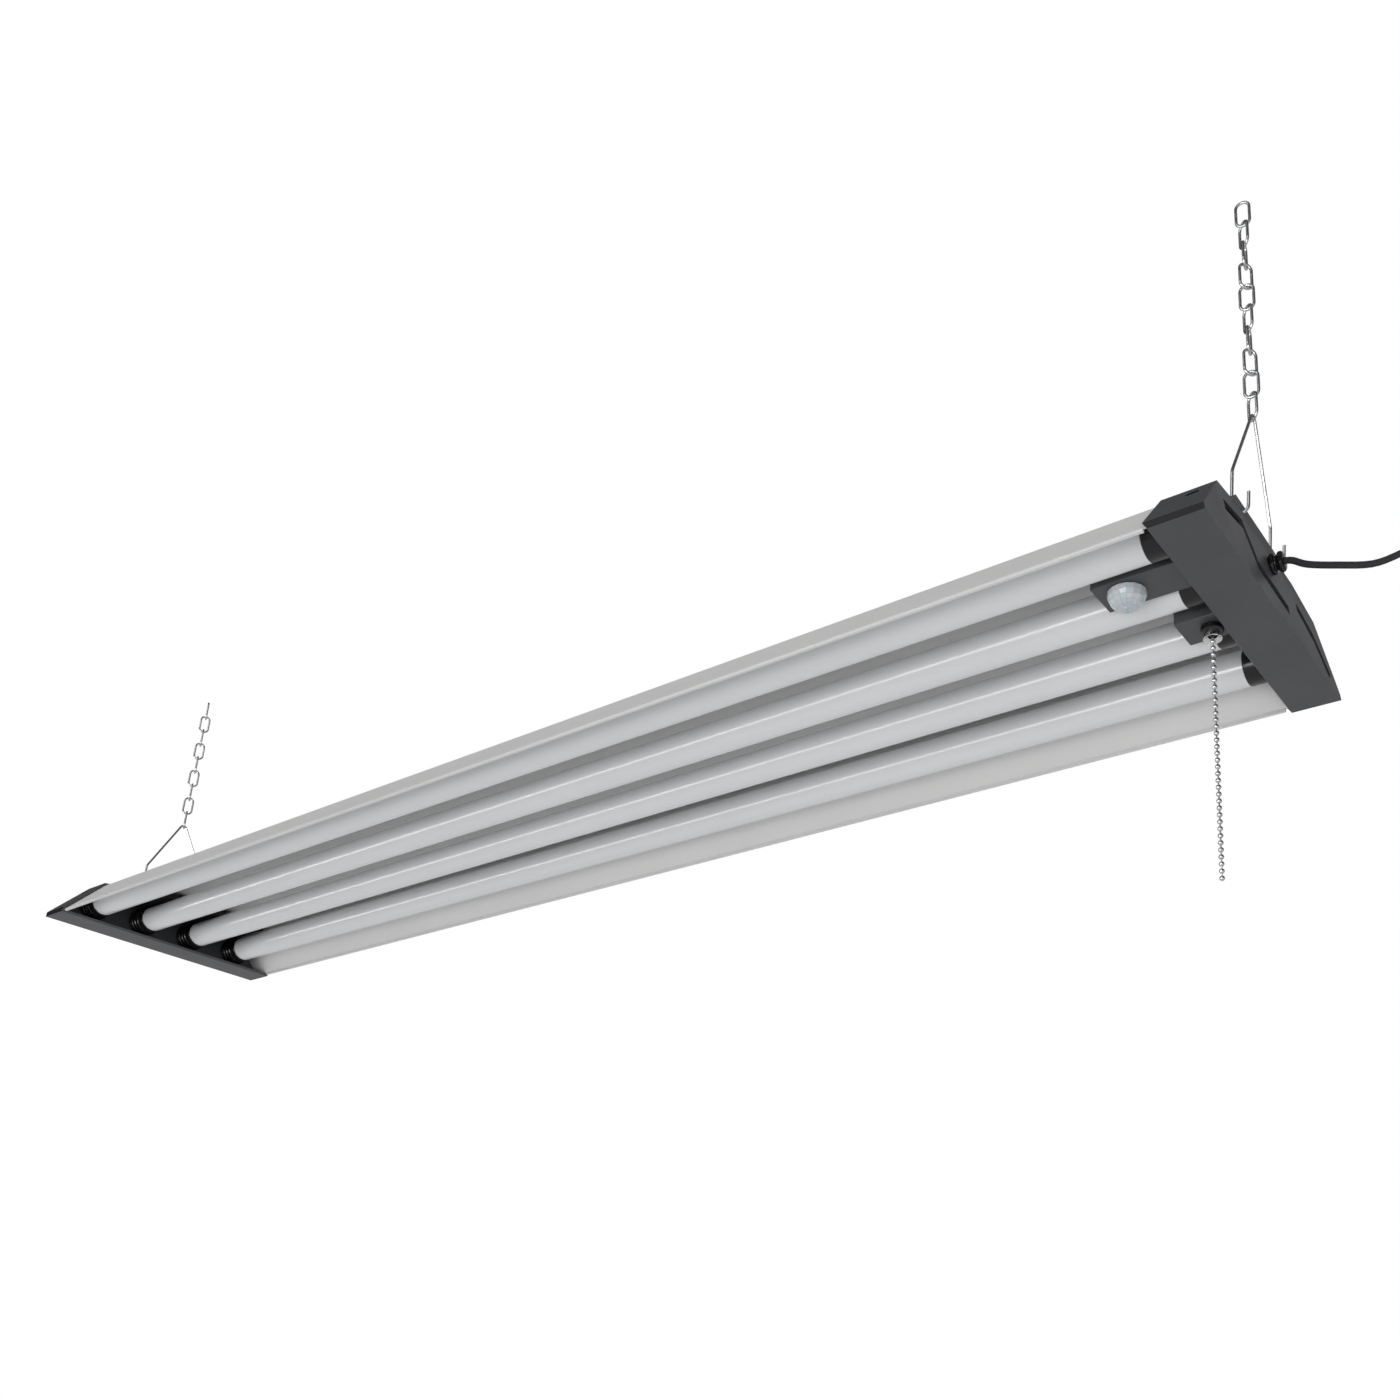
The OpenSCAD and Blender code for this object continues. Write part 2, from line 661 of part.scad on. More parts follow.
// The coupling bead hangs just under the bell mouth
coupler_z = bell_low - bead_r - fit_gap / 2 + bead_r / 6;
actuator_low = coupler_z + bead_r + fit_gap;
module switch_actuator() {
  flange_r = bushing_bore_r - fit_gap;
  color(steel) translate([pull_x, 0, actuator_low]) {
    cylinder(h = body_low + switch_body_h / 2 - actuator_low, r = bead_r * 0.6);
    translate([0, 0, body_low + switch_body_h / 2 - actuator_low - bead_r]) cylinder(h = bead_r, r = flange_r);
  }
}
module chain_coupler() {
  color(steel) translate([pull_x, 0, coupler_z]) sphere(r = bead_r, $fn = 24);
}
module bead_chain() {
  first_z = coupler_z - bead_r - fit_gap;
  last_z = coupler_z - (bead_count - 1) * bead_pitch;
  color(steel) {
    translate([pull_x, 0, last_z]) cylinder(h = first_z - last_z, r = bead_wire_r, $fn = 16);
    for (k = [1:bead_count - 1])
      translate([pull_x, 0, coupler_z - k * bead_pitch]) sphere(r = bead_r, $fn = 16);
  }
}

// Cord grommet: flange outside the end face, neck in the wall, lobes towards the cord
relief_x0 = half_l - end_draft + 2 * fit_gap + relief_r * end_draft / hip_h;
relief_x1 = half_l - end_draft + relief_l;
module strain_relief() {
  waist = relief_neck_r - fit_gap;
  step = (relief_x1 - relief_x0) / 3;
  color(black) translate([0, 0, relief_h]) rotate([0, 90, 0]) {
    translate([0, 0, half_l - block_setback + fit_gap])
      cylinder(h = relief_x0 - half_l + block_setback, r = relief_neck_r);
    translate([0, 0, relief_x0]) cylinder(h = step, r = relief_r);
    translate([0, 0, relief_x0 - fit_gap]) cylinder(h = 3 * step, r = waist);
    translate([0, 0, relief_x0 + 2 * step]) cylinder(h = step, r = relief_r - fit_gap);
  }
}

// The cord's free stretch: from the grommet past the end, over and down to the coil
coil_start = [760, -6, -60];
cord_points = [
  [relief_x1, 0, relief_h], [relief_x1 + cord_d, 1, 34], [626, 5, 31], [642, 9, 27], [660, 12, 23],
  [676, 9, 22], [700, 3, 23], [722, -2, 18], [742, -5, 4], [755, -6, -17],
  [760, -6, -42], coil_start
];
function mid_point(a, b, c, d, t) =
  ((2 * b) + (c - a) * t + (2 * a - 5 * b + 4 * c - d) * t * t + (3 * b - a - 3 * c + d) * t * t * t) / 2;
function smooth(pts, n) = [
  for (i = [0:len(pts) - 2], k = [0:n - 1])
    mid_point(pts[max(i - 1, 0)], pts[i], pts[i + 1], pts[min(i + 2, len(pts) - 1)], k / n),
  pts[len(pts) - 1]
];
// Directions along a line of points, the first one given if it must be square to a face
function headings(pts, first) = [
  for (i = [0:len(pts) - 1])
    i == 0 && norm(first) > 0 ? first : unit(pts[min(i + 1, len(pts) - 1)] - pts[max(i - 1, 0)])
];
// Side vectors that follow the headings without twisting
function sides_along(heads, ref) = [
  for (i = 0, u = unit(cross(heads[0], ref)); i < len(heads);
       i = i + 1, u = unit(u - (u * heads[min(i, len(heads) - 1)]) * heads[min(i, len(heads) - 1)]))
    u
];
// A closed tube swept along points
module sweep(pts, r, sides, ref = [0, 1, 0], first = [0, 0, 0]) {
  n = len(pts);
  heads = headings(pts, first);
  us = sides_along(heads, ref);
  rings = [
    for (i = [0:n - 1], k = [0:sides - 1])
      pts[i] + r * (cos(360 * k / sides) * us[i] + sin(360 * k / sides) * cross(heads[i], us[i]))
  ];
  walls = [
    for (i = [0:n - 2], k = [0:sides - 1])
      let (a = i * sides + k, b = i * sides + (k + 1) % sides)
      each [[a, b, b + sides], [a, b + sides, a + sides]]
  ];
  low = [for (k = [1:sides - 2]) [0, k + 1, k]];
  high = [for (k = [1:sides - 2]) [(n - 1) * sides, (n - 1) * sides + k, (n - 1) * sides + k + 1]];
  polyhedron(points = rings, faces = concat(walls, low, high));
}
module cord() {
  color(black) sweep(smooth(cord_points, 2), cord_d / 2, 10, first = [1, 0, 0]);
}

// Spare cord: four piled layers, spiralling in and out, climbing where the spiral reverses
coil_layers = 4;
coil_clear = 0.5;
coil_step = cord_d + coil_clear;
coil_rings = 24;
coil_loops = coil_layers * coil_turns;
coil_tail = coil_r + 2 * cord_d;
function fold(u) = let (m = u % (2 * coil_turns)) m < coil_turns ? m : 2 * coil_turns - m;
function clamp01(t) = min(1, max(0, t));
function climb(u) = coil_step * (
  clamp01(2 * (u - coil_turns) + 0.5) + clamp01(2 * (u - 2 * coil_turns) + 0.5)
  + clamp01(2 * (u - 3 * coil_turns) + 0.5));
coil_centre = coil_start - [coil_r, 0, cord_d];
function coil_point(u) =
  let (r = coil_r - coil_step * fold(u), a = -360 * u)
  coil_centre + [r * cos(a), climb(u), r * sin(a)];
coil_path = concat(
  [coil_start],
  [for (k = [0:coil_loops * coil_rings]) coil_point(k / coil_rings)],
  [coil_point(coil_loops) - [0, 0, cord_d], coil_point(coil_loops) - [0, 0, coil_tail]]
);
coil_end = coil_path[len(coil_path) - 1];
// Least gap between turns, over points at least a quarter turn apart
coil_gap = min([
  for (i = [1:len(coil_path) - 2], j = [i + coil_rings / 4:len(coil_path) - 2])
    norm(coil_path[i] - coil_path[j])
]) - cord_d;
echo(coil_gap = coil_gap);  // cord_coil
module cord_coil() {
  color(black) sweep(coil_path, cord_d / 2, 6);
}
// Strap round the bundle at the coil's far side
module cord_tie() {
  slack = fit_gap;
  in_r = coil_r - coil_turns * coil_step - cord_d / 2 - slack;
  out_r = coil_r + cord_d / 2 + slack;
  low_y = -cord_d / 2 - slack;
  high_y = (coil_layers - 1) * coil_step + cord_d / 2 + slack;
  color("dimgray") translate(coil_centre) difference() {
    span([-out_r - tie_t, low_y - tie_t, -tie_w / 2], [-in_r + tie_t, high_y + tie_t, tie_w / 2]);
    span([-out_r, low_y, -tie_w], [-in_r, high_y, tie_w]);
  }
}
module plug_body() {
  round_r = plug_t / 4;
  color(black) translate(coil_end - [0, 0, plug_l]) linear_extrude(height = plug_l) {
    square([plug_w, plug_t - 2 * round_r], center = true);
    square([plug_w - 2 * round_r, plug_t], center = true);
    for (sx = [-1, 1], sy = [-1, 1])
      translate([sx * (plug_w / 2 - round_r), sy * (plug_t / 2 - round_r)]) circle(r = round_r);
  }
}
module plug_blades() {
  color("gold") for (side = [-1, 1]) {
    w = side < 0 ? blade_w : wide_blade_w;
    translate(coil_end + [side * blade_gap / 2, 0, -plug_l - blade_l / 2])
      cube([blade_t, w, blade_l], center = true);
  }
}

// Wire hanger at the +X end: two hooks, two bent legs and a rounded top.
// It is drawn upright and then leans so that its top hangs over the hooks' middles.
leg_bend_r = 3 * hanger_d;
leg_rise = leg_bend_h - hook_centre_h;
apex_rise = apex_h - hook_centre_h - apex_r;
leg_reach = norm([leg_half, apex_rise - leg_rise]);
leg_lean = atan(leg_half / (apex_rise - leg_rise)) - asin(apex_r / leg_reach);
bend_cut = leg_bend_r * tan(leg_lean / 2);
// Points round a bend about c, from direction e1 towards e2, between angles a0 and a1
function bend(c, e1, e2, r, a0, a1, n) = [
  for (k = [0:n])
    let (a = a0 + (a1 - a0) * k / n)
    c + r * (cos(a) * e1 + sin(a) * e2)
];
hanger_up = [0, 0, 1];
hanger_out = [0, 1, 0];
// Half the wire, from a hook's tip over the hook and up the leg to the top's middle
hanger_half =
  let (h = [cos(hook_turn), -sin(hook_turn), 0], foot = [0, leg_half, 0])
  concat(
    [foot + 2 * hook_r * h + (hook_tip_h - hook_centre_h) * hanger_up],
    bend(foot + hook_r * h, h, -hanger_up, hook_r, 0, 180, 12),
    bend([0, leg_half - leg_bend_r, leg_rise - bend_cut], hanger_out, hanger_up, leg_bend_r, 0, leg_lean, 3),
    bend([0, 0, apex_rise], hanger_out, hanger_up, apex_r, leg_lean, 90, 5)
  );
hanger_line = concat(
  hanger_half,
  [for (i = [len(hanger_half) - 2:-1:0]) [hanger_half[i][0], -hanger_half[i][1], hanger_half[i][2]]]
);
module hanger() {
  color(steel) translate([leg_x, 0, hook_centre_h]) rotate([0, hanger_tilt, 0])
    sweep(hanger_line, hanger_d / 2, 12, ref = hanger_out);
}
module hanger_right() {
  hanger();
}
module hanger_left() {
  mirror([1, 0, 0]) hanger();
}

// Welded links, each turned from its neighbour
link_straight = link_pitch - 2 * link_r + link_d + fit_gap;
first_link_z = apex_h - (hanger_d + link_d) / 2 - fit_gap + link_straight / 2 + link_r;
module chain_link() {
  for (flip = [0, 180])
    rotate([0, flip, 0]) translate([0, 0, link_straight / 2]) rotate([90, 0, 0])
      rotate_extrude(angle = 180, $fn = 24) translate([link_r, 0]) circle(d = link_d, $fn = 16);
  for (side = [-1, 1])
    translate([side * link_r, 0, -link_straight / 2]) cylinder(h = link_straight, d = link_d, $fn = 16);
}
// Links number a to b, counted from the hanger, the first at an angle and each turned on from there
module links(side, a, b, angle) {
  color(steel) for (k = [a:b])
    translate([side * hook_x, 0, first_link_z + k * link_pitch])
      rotate([0, 0, angle[0] + k * angle[1]]) chain_link();
}
link_angle_right = [-38, 45];
link_angle_left = [-27, 90];
module chain_right() { links(1, 0, links_right - 3, link_angle_right); }
module chain_left() { links(-1, 0, links_left - 3, link_angle_left); }
module upper_link_right() { links(1, links_right - 2, links_right - 2, link_angle_right); }
module upper_link_left() { links(-1, links_left - 2, links_left - 2, link_angle_left); }
module top_link_right() { links(1, links_right - 1, links_right - 1, link_angle_right); }
module top_link_left() { links(-1, links_left - 1, links_left - 1, link_angle_left); }

// Inside top of a chain's last link, where the ceiling hook bears
function hook_z(count) = first_link_z + (count - 1) * link_pitch + link_straight / 2 + link_r - link_d / 2;
hook_h = (hook_z(links_right) + hook_z(links_left)) / 2;
module lowered() {
  translate([0, 0, -hook_h]) children();
}

lowered() housing();
lowered() top_channel();
lowered() driver();
lowered() supply_wires();
lowered() lamp_wires();
lowered() end_cap_left();
lowered() end_cap_right();
lowered() cap_screws_left();
lowered() cap_screws_right();
for (i = [1:4]) {
  lowered() tube(i);
  lowered() led_board(i);
  lowered() led_row(i);
  lowered() socket(i, collar_show_right);
  lowered() mirror([1, 0, 0]) socket(i, collar_show_left);
}
lowered() base_cover_left();
lowered() sensor_plate();
lowered() sensor_dome();
lowered() sensor_can();
lowered() sensor_board();
lowered() switch_housing();
lowered() switch_body();
lowered() switch_nut();
lowered() switch_bell();
lowered() switch_actuator();
lowered() chain_coupler();
lowered() bead_chain();
lowered() strain_relief();
lowered() cord();
lowered() cord_coil();
lowered() cord_tie();
lowered() plug_body();
lowered() plug_blades();
lowered() hanger_left();
lowered() hanger_right();
lowered() chain_left();
lowered() chain_right();
lowered() upper_link_left();
lowered() upper_link_right();
lowered() top_link_left();
lowered() top_link_right();
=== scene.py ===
"""Hanging shop light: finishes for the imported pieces, finer pieces where needed, and a studio.

Sizes in the classes are millimetres in the fixture's own frame, but the studio's are metres. The
fixture's heights start at the flat underside of the end caps, and at() turns such a place into the
row frame's metres.
"""

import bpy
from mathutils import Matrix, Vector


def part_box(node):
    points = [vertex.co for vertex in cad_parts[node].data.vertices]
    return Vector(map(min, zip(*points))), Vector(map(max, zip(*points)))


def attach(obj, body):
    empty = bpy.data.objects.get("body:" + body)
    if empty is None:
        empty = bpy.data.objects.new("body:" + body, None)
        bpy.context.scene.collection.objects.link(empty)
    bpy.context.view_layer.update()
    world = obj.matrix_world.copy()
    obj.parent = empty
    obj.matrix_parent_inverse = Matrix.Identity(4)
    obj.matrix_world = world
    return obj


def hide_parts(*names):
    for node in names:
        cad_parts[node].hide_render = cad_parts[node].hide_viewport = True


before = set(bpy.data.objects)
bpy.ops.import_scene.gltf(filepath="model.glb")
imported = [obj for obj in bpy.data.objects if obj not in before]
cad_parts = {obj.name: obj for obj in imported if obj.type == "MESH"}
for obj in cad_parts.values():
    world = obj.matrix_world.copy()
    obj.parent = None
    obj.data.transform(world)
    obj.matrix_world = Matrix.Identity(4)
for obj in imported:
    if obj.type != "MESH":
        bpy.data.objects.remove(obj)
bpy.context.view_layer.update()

import logging
import math
from contextlib import contextmanager
from dataclasses import dataclass, field
from enum import Enum
from typing import Any, Callable, Iterator, Sequence

import bmesh
import bpy
from mathutils import Matrix, Vector

LOG = logging.getLogger("shop_light")
HOOK_HEIGHT = 302.1  # millimetres from the caps' underside to the row frame's origin
MM = 0.001
TUBE_NUMBERS = range(1, 5)
Triple = tuple[float, float, float]
Colour = Triple
Piece = bpy.types.Object
Socket = bpy.types.NodeSocket


def at(x: float, y: float, z: float) -> Vector:
    """Turn millimetres along, across and above the caps' underside into the row frame's metres."""
    return Vector((x * MM, y * MM, (z - HOOK_HEIGHT) * MM))


def show(made: Piece) -> None:
    """Put a new object into the picture."""
    bpy.context.scene.collection.objects.link(made)


def middle_of(node: str) -> Vector:
    """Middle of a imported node's box, in metres."""
    low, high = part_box(node)
    return (low + high) / 2


# ---- Shader expressions ----


class Number:
    """A shader's number socket that Python's operators work on."""

    def __init__(self, graph: "Graph", socket: Socket) -> None:
        """Keep the socket and the graph that its results go to."""
        self.graph = graph
        self.socket = socket

    def _math(self, operation: str, *operands: Any) -> "Number":
        """Add one Math node with its inputs in order, and take its result."""
        inputs = dict(enumerate(operands))
        return self.graph.number("ShaderNodeMath", {"operation": operation}, inputs)

    def __add__(self, other: Any) -> "Number":
        """Sum."""
        return self._math("ADD", self, other)

    def __radd__(self, other: Any) -> "Number":
        """Reflected sum."""
        return self._math("ADD", other, self)

    def __sub__(self, other: Any) -> "Number":
        """Difference."""
        return self._math("SUBTRACT", self, other)

    def __rsub__(self, other: Any) -> "Number":
        """Reflected difference."""
        return self._math("SUBTRACT", other, self)

    def __mul__(self, other: Any) -> "Number":
        """Product."""
        return self._math("MULTIPLY", self, other)

    def __gt__(self, other: Any) -> "Number":
        """One where this is greater."""
        return self._math("GREATER_THAN", self, other)

    def smooth(self, low: float, high: float) -> "Number":
        """Rise smoothly from 0 at low to 1 at high."""
        return self.graph.number(
            "ShaderNodeMapRange", {"interpolation_type": "SMOOTHSTEP"},
            {"Value": self, "From Min": low, "From Max": high})

    def top(self, other: Any) -> "Number":
        """The greater of two."""
        return self._math("MAXIMUM", self, other)

    def sine(self) -> "Number":
        """Sine."""
        return self._math("SINE", self)


class Graph:
    """The node tree of one material or of the world."""

    def __init__(self, owner: bpy.types.Material | bpy.types.World) -> None:
        """Start an empty tree on its owner."""
        owner.use_nodes = True
        self.tree = owner.node_tree
        self.tree.nodes.clear()

    def node(self, kind: str, settings: dict[str, Any] | None = None,
             inputs: dict[Any, Any] | None = None) -> bpy.types.Node:
        """Add a node.

        Args:
            kind: The node's type.
            settings: Its settings, made first.
            inputs: Values or links of its sockets, by name or number.

        Returns:
            The node.
        """
        made = self.tree.nodes.new(kind)
        for name, value in (settings or {}).items():
            setattr(made, name, value)
        for name, value in (inputs or {}).items():
            socket = made.inputs[name]
            if isinstance(value, Number):
                self.tree.links.new(value.socket, socket)
            elif isinstance(value, Socket):
                self.tree.links.new(value, socket)
            elif socket.type == "RGBA" and len(value) == 3:
                socket.default_value = (*value, 1.0)
            else:
                socket.default_value = value
        return made

    def number(self, kind: str, settings: dict[str, Any] | None = None,
               inputs: dict[Any, Any] | None = None, output: Any = 0) -> Number:
        """Add a node and take one of its numbers."""
        return Number(self, self.node(kind, settings, inputs).outputs[output])

    def blend(self, share: Any, first: Any, second: Any) -> Socket:
        """Mix two colours by a share; the node's sockets 6, 7 and output 2 are for colours."""
        made = self.node("ShaderNodeMix", {"data_type": "RGBA"}, {0: share, 6: first, 7: second})
        return made.outputs[2]

    def place(self, stretch: Triple = (1.0, 1.0, 1.0),
              shift: Triple = (0.0, 0.0, 0.0)) -> Socket:
        """Object coordinates in metres, stretched and shifted."""
        coords = self.node("ShaderNodeTexCoord").outputs["Object"]
        inputs = {"Vector": coords, "Scale": stretch, "Location": shift}
        return self.node("ShaderNodeMapping", {}, inputs).outputs[0]

    def noise(self, where: Socket, size: float, detail: float) -> Number:
        """Noise with lumps of about size millimetres."""
        inputs = {"Vector": where, "Scale": 1 / (size * MM), "Detail": detail}
        return self.number("ShaderNodeTexNoise", {}, inputs)

    def relief(self, height: Number, depth: float) -> Socket:
        """Bump of a height from 0 to 1, depth millimetres deep."""
        inputs = {"Height": height, "Distance": depth * MM, "Strength": 1.0}
        return self.node("ShaderNodeBump", {}, inputs).outputs[0]


# ---- Finishes ----

DRAWN_STRETCH = (0.02, 1.0, 1.0)
PATCH_EDGES = (0.38, 0.62)
HANDLED_SHIFT = (0.31, 0.17, 0.05)
COAT_ROUGHNESS = 0.08
LENS_TIP = -0.9  # millimetres above the caps' underside, as for at()


class Texture(Enum):
    """How a surface is textured close up."""

    PEEL = "soft orange peel of a powder coat"
    GRAIN = "fine spark grain of a mould"
    DRAWN = "faint lines along an extruded piece"
    POLISHED = "faint waves of a glossy moulding"
    PLATED = "slightly uneven plating on drawn wire"


@dataclass(frozen=True)
class Finish:
    """One finish with its colour, its second tone in patches, gloss and texture.

    The sizes of the texture and the patches and the texture's depth are millimetres.
    """

    name: str
    colour: Colour
    second: Colour
    roughness: float
    texture: Texture
    size: float
    depth: float
    patch: float = 40.0
    patch_share: float = 0.6
    uneven: float = 0.08
    metallic: float = 0.0
    coat: float = 0.0
    specular: float = 0.5

    def height(self, graph: Graph) -> Number:
        """Height of the close texture, from 0 to 1."""
        where = graph.place(DRAWN_STRETCH) if self.texture is Texture.DRAWN else graph.place()
        fine = graph.noise(where, self.size, 3.0)
        if self.texture is Texture.GRAIN:
            inputs = {"Vector": where, "Scale": 1 / (self.size * MM)}
            return fine * 0.5 + graph.number("ShaderNodeTexVoronoi", {}, inputs) * 0.5
        return fine

    def colour_socket(self, graph: Graph) -> Any:
        """Colour over the surface: two tones in soft patches."""
        broad = graph.noise(graph.place(), self.patch, 4.0).smooth(*PATCH_EDGES)
        return graph.blend(broad * self.patch_share, self.colour, self.second)

    def gloss(self, graph: Graph) -> Number:
        """Roughness over the surface."""
        handled = graph.noise(graph.place(shift=HANDLED_SHIFT), self.patch * 0.6, 5.0)
        return self.roughness + (handled - 0.5) * self.uneven

    def extra(self) -> dict[str, Any]:
        """Constant values for more of the shader's sockets."""
        return {}

    def material(self) -> bpy.types.Material:
        """Build the material of this finish's name once."""
        found = bpy.data.materials.get(self.name)
        if found is not None:
            return found
        made = bpy.data.materials.new(self.name)
        graph = Graph(made)
        shader = graph.node("ShaderNodeBsdfPrincipled", {}, {
            "Base Color": self.colour_socket(graph), "Roughness": self.gloss(graph),
            "Metallic": self.metallic, "Coat Weight": self.coat, "Coat Roughness": COAT_ROUGHNESS,
            "Specular IOR Level": self.specular,
            "Normal": graph.relief(self.height(graph), self.depth), **self.extra()})
        graph.node("ShaderNodeOutputMaterial", {}, {"Surface": shader.outputs[0]})
        made.diffuse_color = (*self.colour, 1.0)
        return made


@dataclass(frozen=True)
class CordJacket(Finish):
    """Black cord jacket with fine lines that follow the cord."""

    lines: int = 14
    wave: float = 40.0
    scuff: float = 9.0

    def height(self, graph: Graph) -> Number:
        """Lines along the cord from its own map: metres along it and shares around it."""
        laid = graph.node("ShaderNodeUVMap").outputs[0]
        split = graph.node("ShaderNodeSeparateXYZ", {}, {0: laid})
        around = Number(graph, split.outputs[1])
        along = Number(graph, split.outputs[0])
        lines = (around * (2 * math.pi * self.lines)).sine() * 0.5 + 0.5
        scuffs = graph.noise(graph.place(), self.scuff, 3.0)
        return lines * (0.35 + (along * self.wave).sine() * 0.05) + scuffs * 0.6


@dataclass(frozen=True)
class Lens(Finish):
    """Milky lens: paler towards its rim, with light scattered inside."""

    centre: Triple = (0.0, 0.0, 0.0)
    reach: float = 11.5
    clear_share: float = 0.45

    def colour_socket(self, graph: Graph) -> Any:
        """Darker over the detector in the middle, paler towards the rim."""
        coords = graph.node("ShaderNodeTexCoord").outputs["Object"]
        away = graph.number(
            "ShaderNodeVectorMath", {"operation": "DISTANCE"}, {0: coords, 1: self.centre}, "Value")
        rim = away.smooth(self.clear_share * self.reach * MM, self.reach * MM)
        return graph.blend(rim, self.second, self.colour)

    def extra(self) -> dict[str, Any]:
        """Light scatters under the surface."""
        return {"Subsurface Weight": 0.25, "Subsurface Scale": 0.004}


@dataclass(frozen=True)
class BoardFinish(Finish):
    """Board lacquer with faint copper runs under it, run millimetres apart."""

    run: float = 2.4

    def colour_socket(self, graph: Graph) -> Any:
        """Runs along the board, a shade off its lacquer."""
        split = graph.node("ShaderNodeSeparateXYZ", {}, {0: graph.place()})
        across = Number(graph, split.outputs[1])
        runs = ((across * (2 * math.pi / (self.run * MM))).sine() > 0.75) * 0.5
        return graph.blend(runs, self.colour, self.second)


WHITE_ENAMEL = Finish(
    "white_enamel", (0.70, 0.70, 0.695), (0.68, 0.68, 0.675), 0.42, Texture.PEEL, 1.6, 0.012,
    patch=90.0, uneven=0.1)
OPAL = Finish(
    "opal_tube", (0.76, 0.77, 0.785), (0.745, 0.755, 0.77), 0.20, Texture.DRAWN, 1.1, 0.002,
    patch=120.0, uneven=0.06)
CHARCOAL = Finish(
    "charcoal_moulding", (0.052, 0.054, 0.060), (0.060, 0.062, 0.068), 0.46, Texture.GRAIN,
    0.55, 0.02, patch=45.0, uneven=0.12)
# Gloss charcoal far darker than the cap's moulding: painted shade on the polished lip band and on
# the snap slot walls
GLOSS_CHARCOAL_PAINTED_SHADE = Finish(
    "gloss_charcoal_painted_shade", (0.012, 0.012, 0.015), (0.015, 0.015, 0.019), 0.14,
    Texture.POLISHED, 4.0, 0.02, patch=20.0, uneven=0.06, specular=0.08)
GLOSS_BLACK = Finish(
    "gloss_black_moulding", (0.007, 0.007, 0.008), (0.011, 0.011, 0.013), 0.22,
    Texture.POLISHED, 6.0, 0.02, patch=25.0, uneven=0.1, specular=0.4)
SOFT_BLACK = Finish(
    "soft_black_moulding", (0.010, 0.010, 0.012), (0.016, 0.016, 0.018), 0.5, Texture.GRAIN,
    0.6, 0.02, patch=30.0, uneven=0.15)
ZINC = Finish(
    "bright_zinc_wire", (0.60, 0.61, 0.62), (0.42, 0.43, 0.45), 0.24, Texture.PLATED, 0.8, 0.02,
    patch=5.0, uneven=0.22, metallic=1.0)
NICKEL = Finish(
    "nickel_beads", (0.62, 0.62, 0.61), (0.50, 0.50, 0.50), 0.26, Texture.PLATED, 1.2, 0.001,
    patch=6.0, uneven=0.1, metallic=1.0)
CHROME = Finish(
    "chrome_bell", (0.70, 0.70, 0.70), (0.62, 0.62, 0.62), 0.16, Texture.PLATED, 3.0, 0.004,
    patch=8.0, uneven=0.05, metallic=1.0)
STEEL_SCREW = Finish(
    "zinc_screw", (0.50, 0.51, 0.52), (0.40, 0.41, 0.42), 0.3, Texture.PLATED, 0.5, 0.01,
    patch=3.0, uneven=0.2, metallic=1.0)
TIN_PLATE = Finish(
    "driver_case_plate", (0.62, 0.63, 0.64), (0.54, 0.55, 0.56), 0.34, Texture.DRAWN, 0.7, 0.008,
    patch=25.0, uneven=0.16, metallic=0.9)
WIRE_JACKET = Finish(
    "wire_jacket", (0.20, 0.20, 0.21), (0.15, 0.15, 0.16), 0.45, Texture.POLISHED, 2.0, 0.02,
    patch=20.0)
LENS = Lens(
    "milky_lens", (0.60, 0.65, 0.68), (0.50, 0.56, 0.60), 0.16, Texture.POLISHED, 2.2, 0.02,
    patch=6.0, uneven=0.05, coat=0.8,
    centre=(middle_of("sensor_dome").x, middle_of("sensor_dome").y, at(0, 0, LENS_TIP).z))
CAN = Finish(
    "detector_can", (0.60, 0.60, 0.58), (0.52, 0.52, 0.5), 0.25, Texture.PLATED, 1.0, 0.01,
    patch=5.0, metallic=1.0)
GREEN_BOARD = BoardFinish(
    "detector_board", (0.03, 0.14, 0.06), (0.06, 0.22, 0.09), 0.38, Texture.POLISHED, 1.0, 0.02,
    run=1.8)
WHITE_BOARD = BoardFinish(
    "lamp_board", (0.78, 0.78, 0.76), (0.70, 0.70, 0.68), 0.4, Texture.POLISHED, 1.0, 0.02)
PHOSPHOR = Finish(
    "lamp_phosphor", (0.80, 0.68, 0.26), (0.86, 0.78, 0.42), 0.35, Texture.POLISHED, 0.6, 0.03,
    patch=2.0)
JACKET = CordJacket(
    "cord_jacket", (0.006, 0.006, 0.007), (0.010, 0.010, 0.011), 0.20, Texture.POLISHED,
    3.0, 0.008, patch=30.0, uneven=0.08, specular=0.35)
BRASS = Finish(
    "plated_blades", (0.66, 0.58, 0.40), (0.56, 0.49, 0.34), 0.26, Texture.DRAWN, 0.5, 0.006,
    patch=8.0, uneven=0.16, metallic=1.0)


# ---- Bench ----

ALONG_X = Matrix.Rotation(math.radians(90), 4, "Y")
BACK_ALONG_X = Matrix.Rotation(math.radians(-90), 4, "Y")
UPSIDE_DOWN = Matrix.Rotation(math.radians(180), 4, "X")
MERGE_WITHIN = 0.005  # millimetres
FLAT_WITHIN = 0.5  # degrees


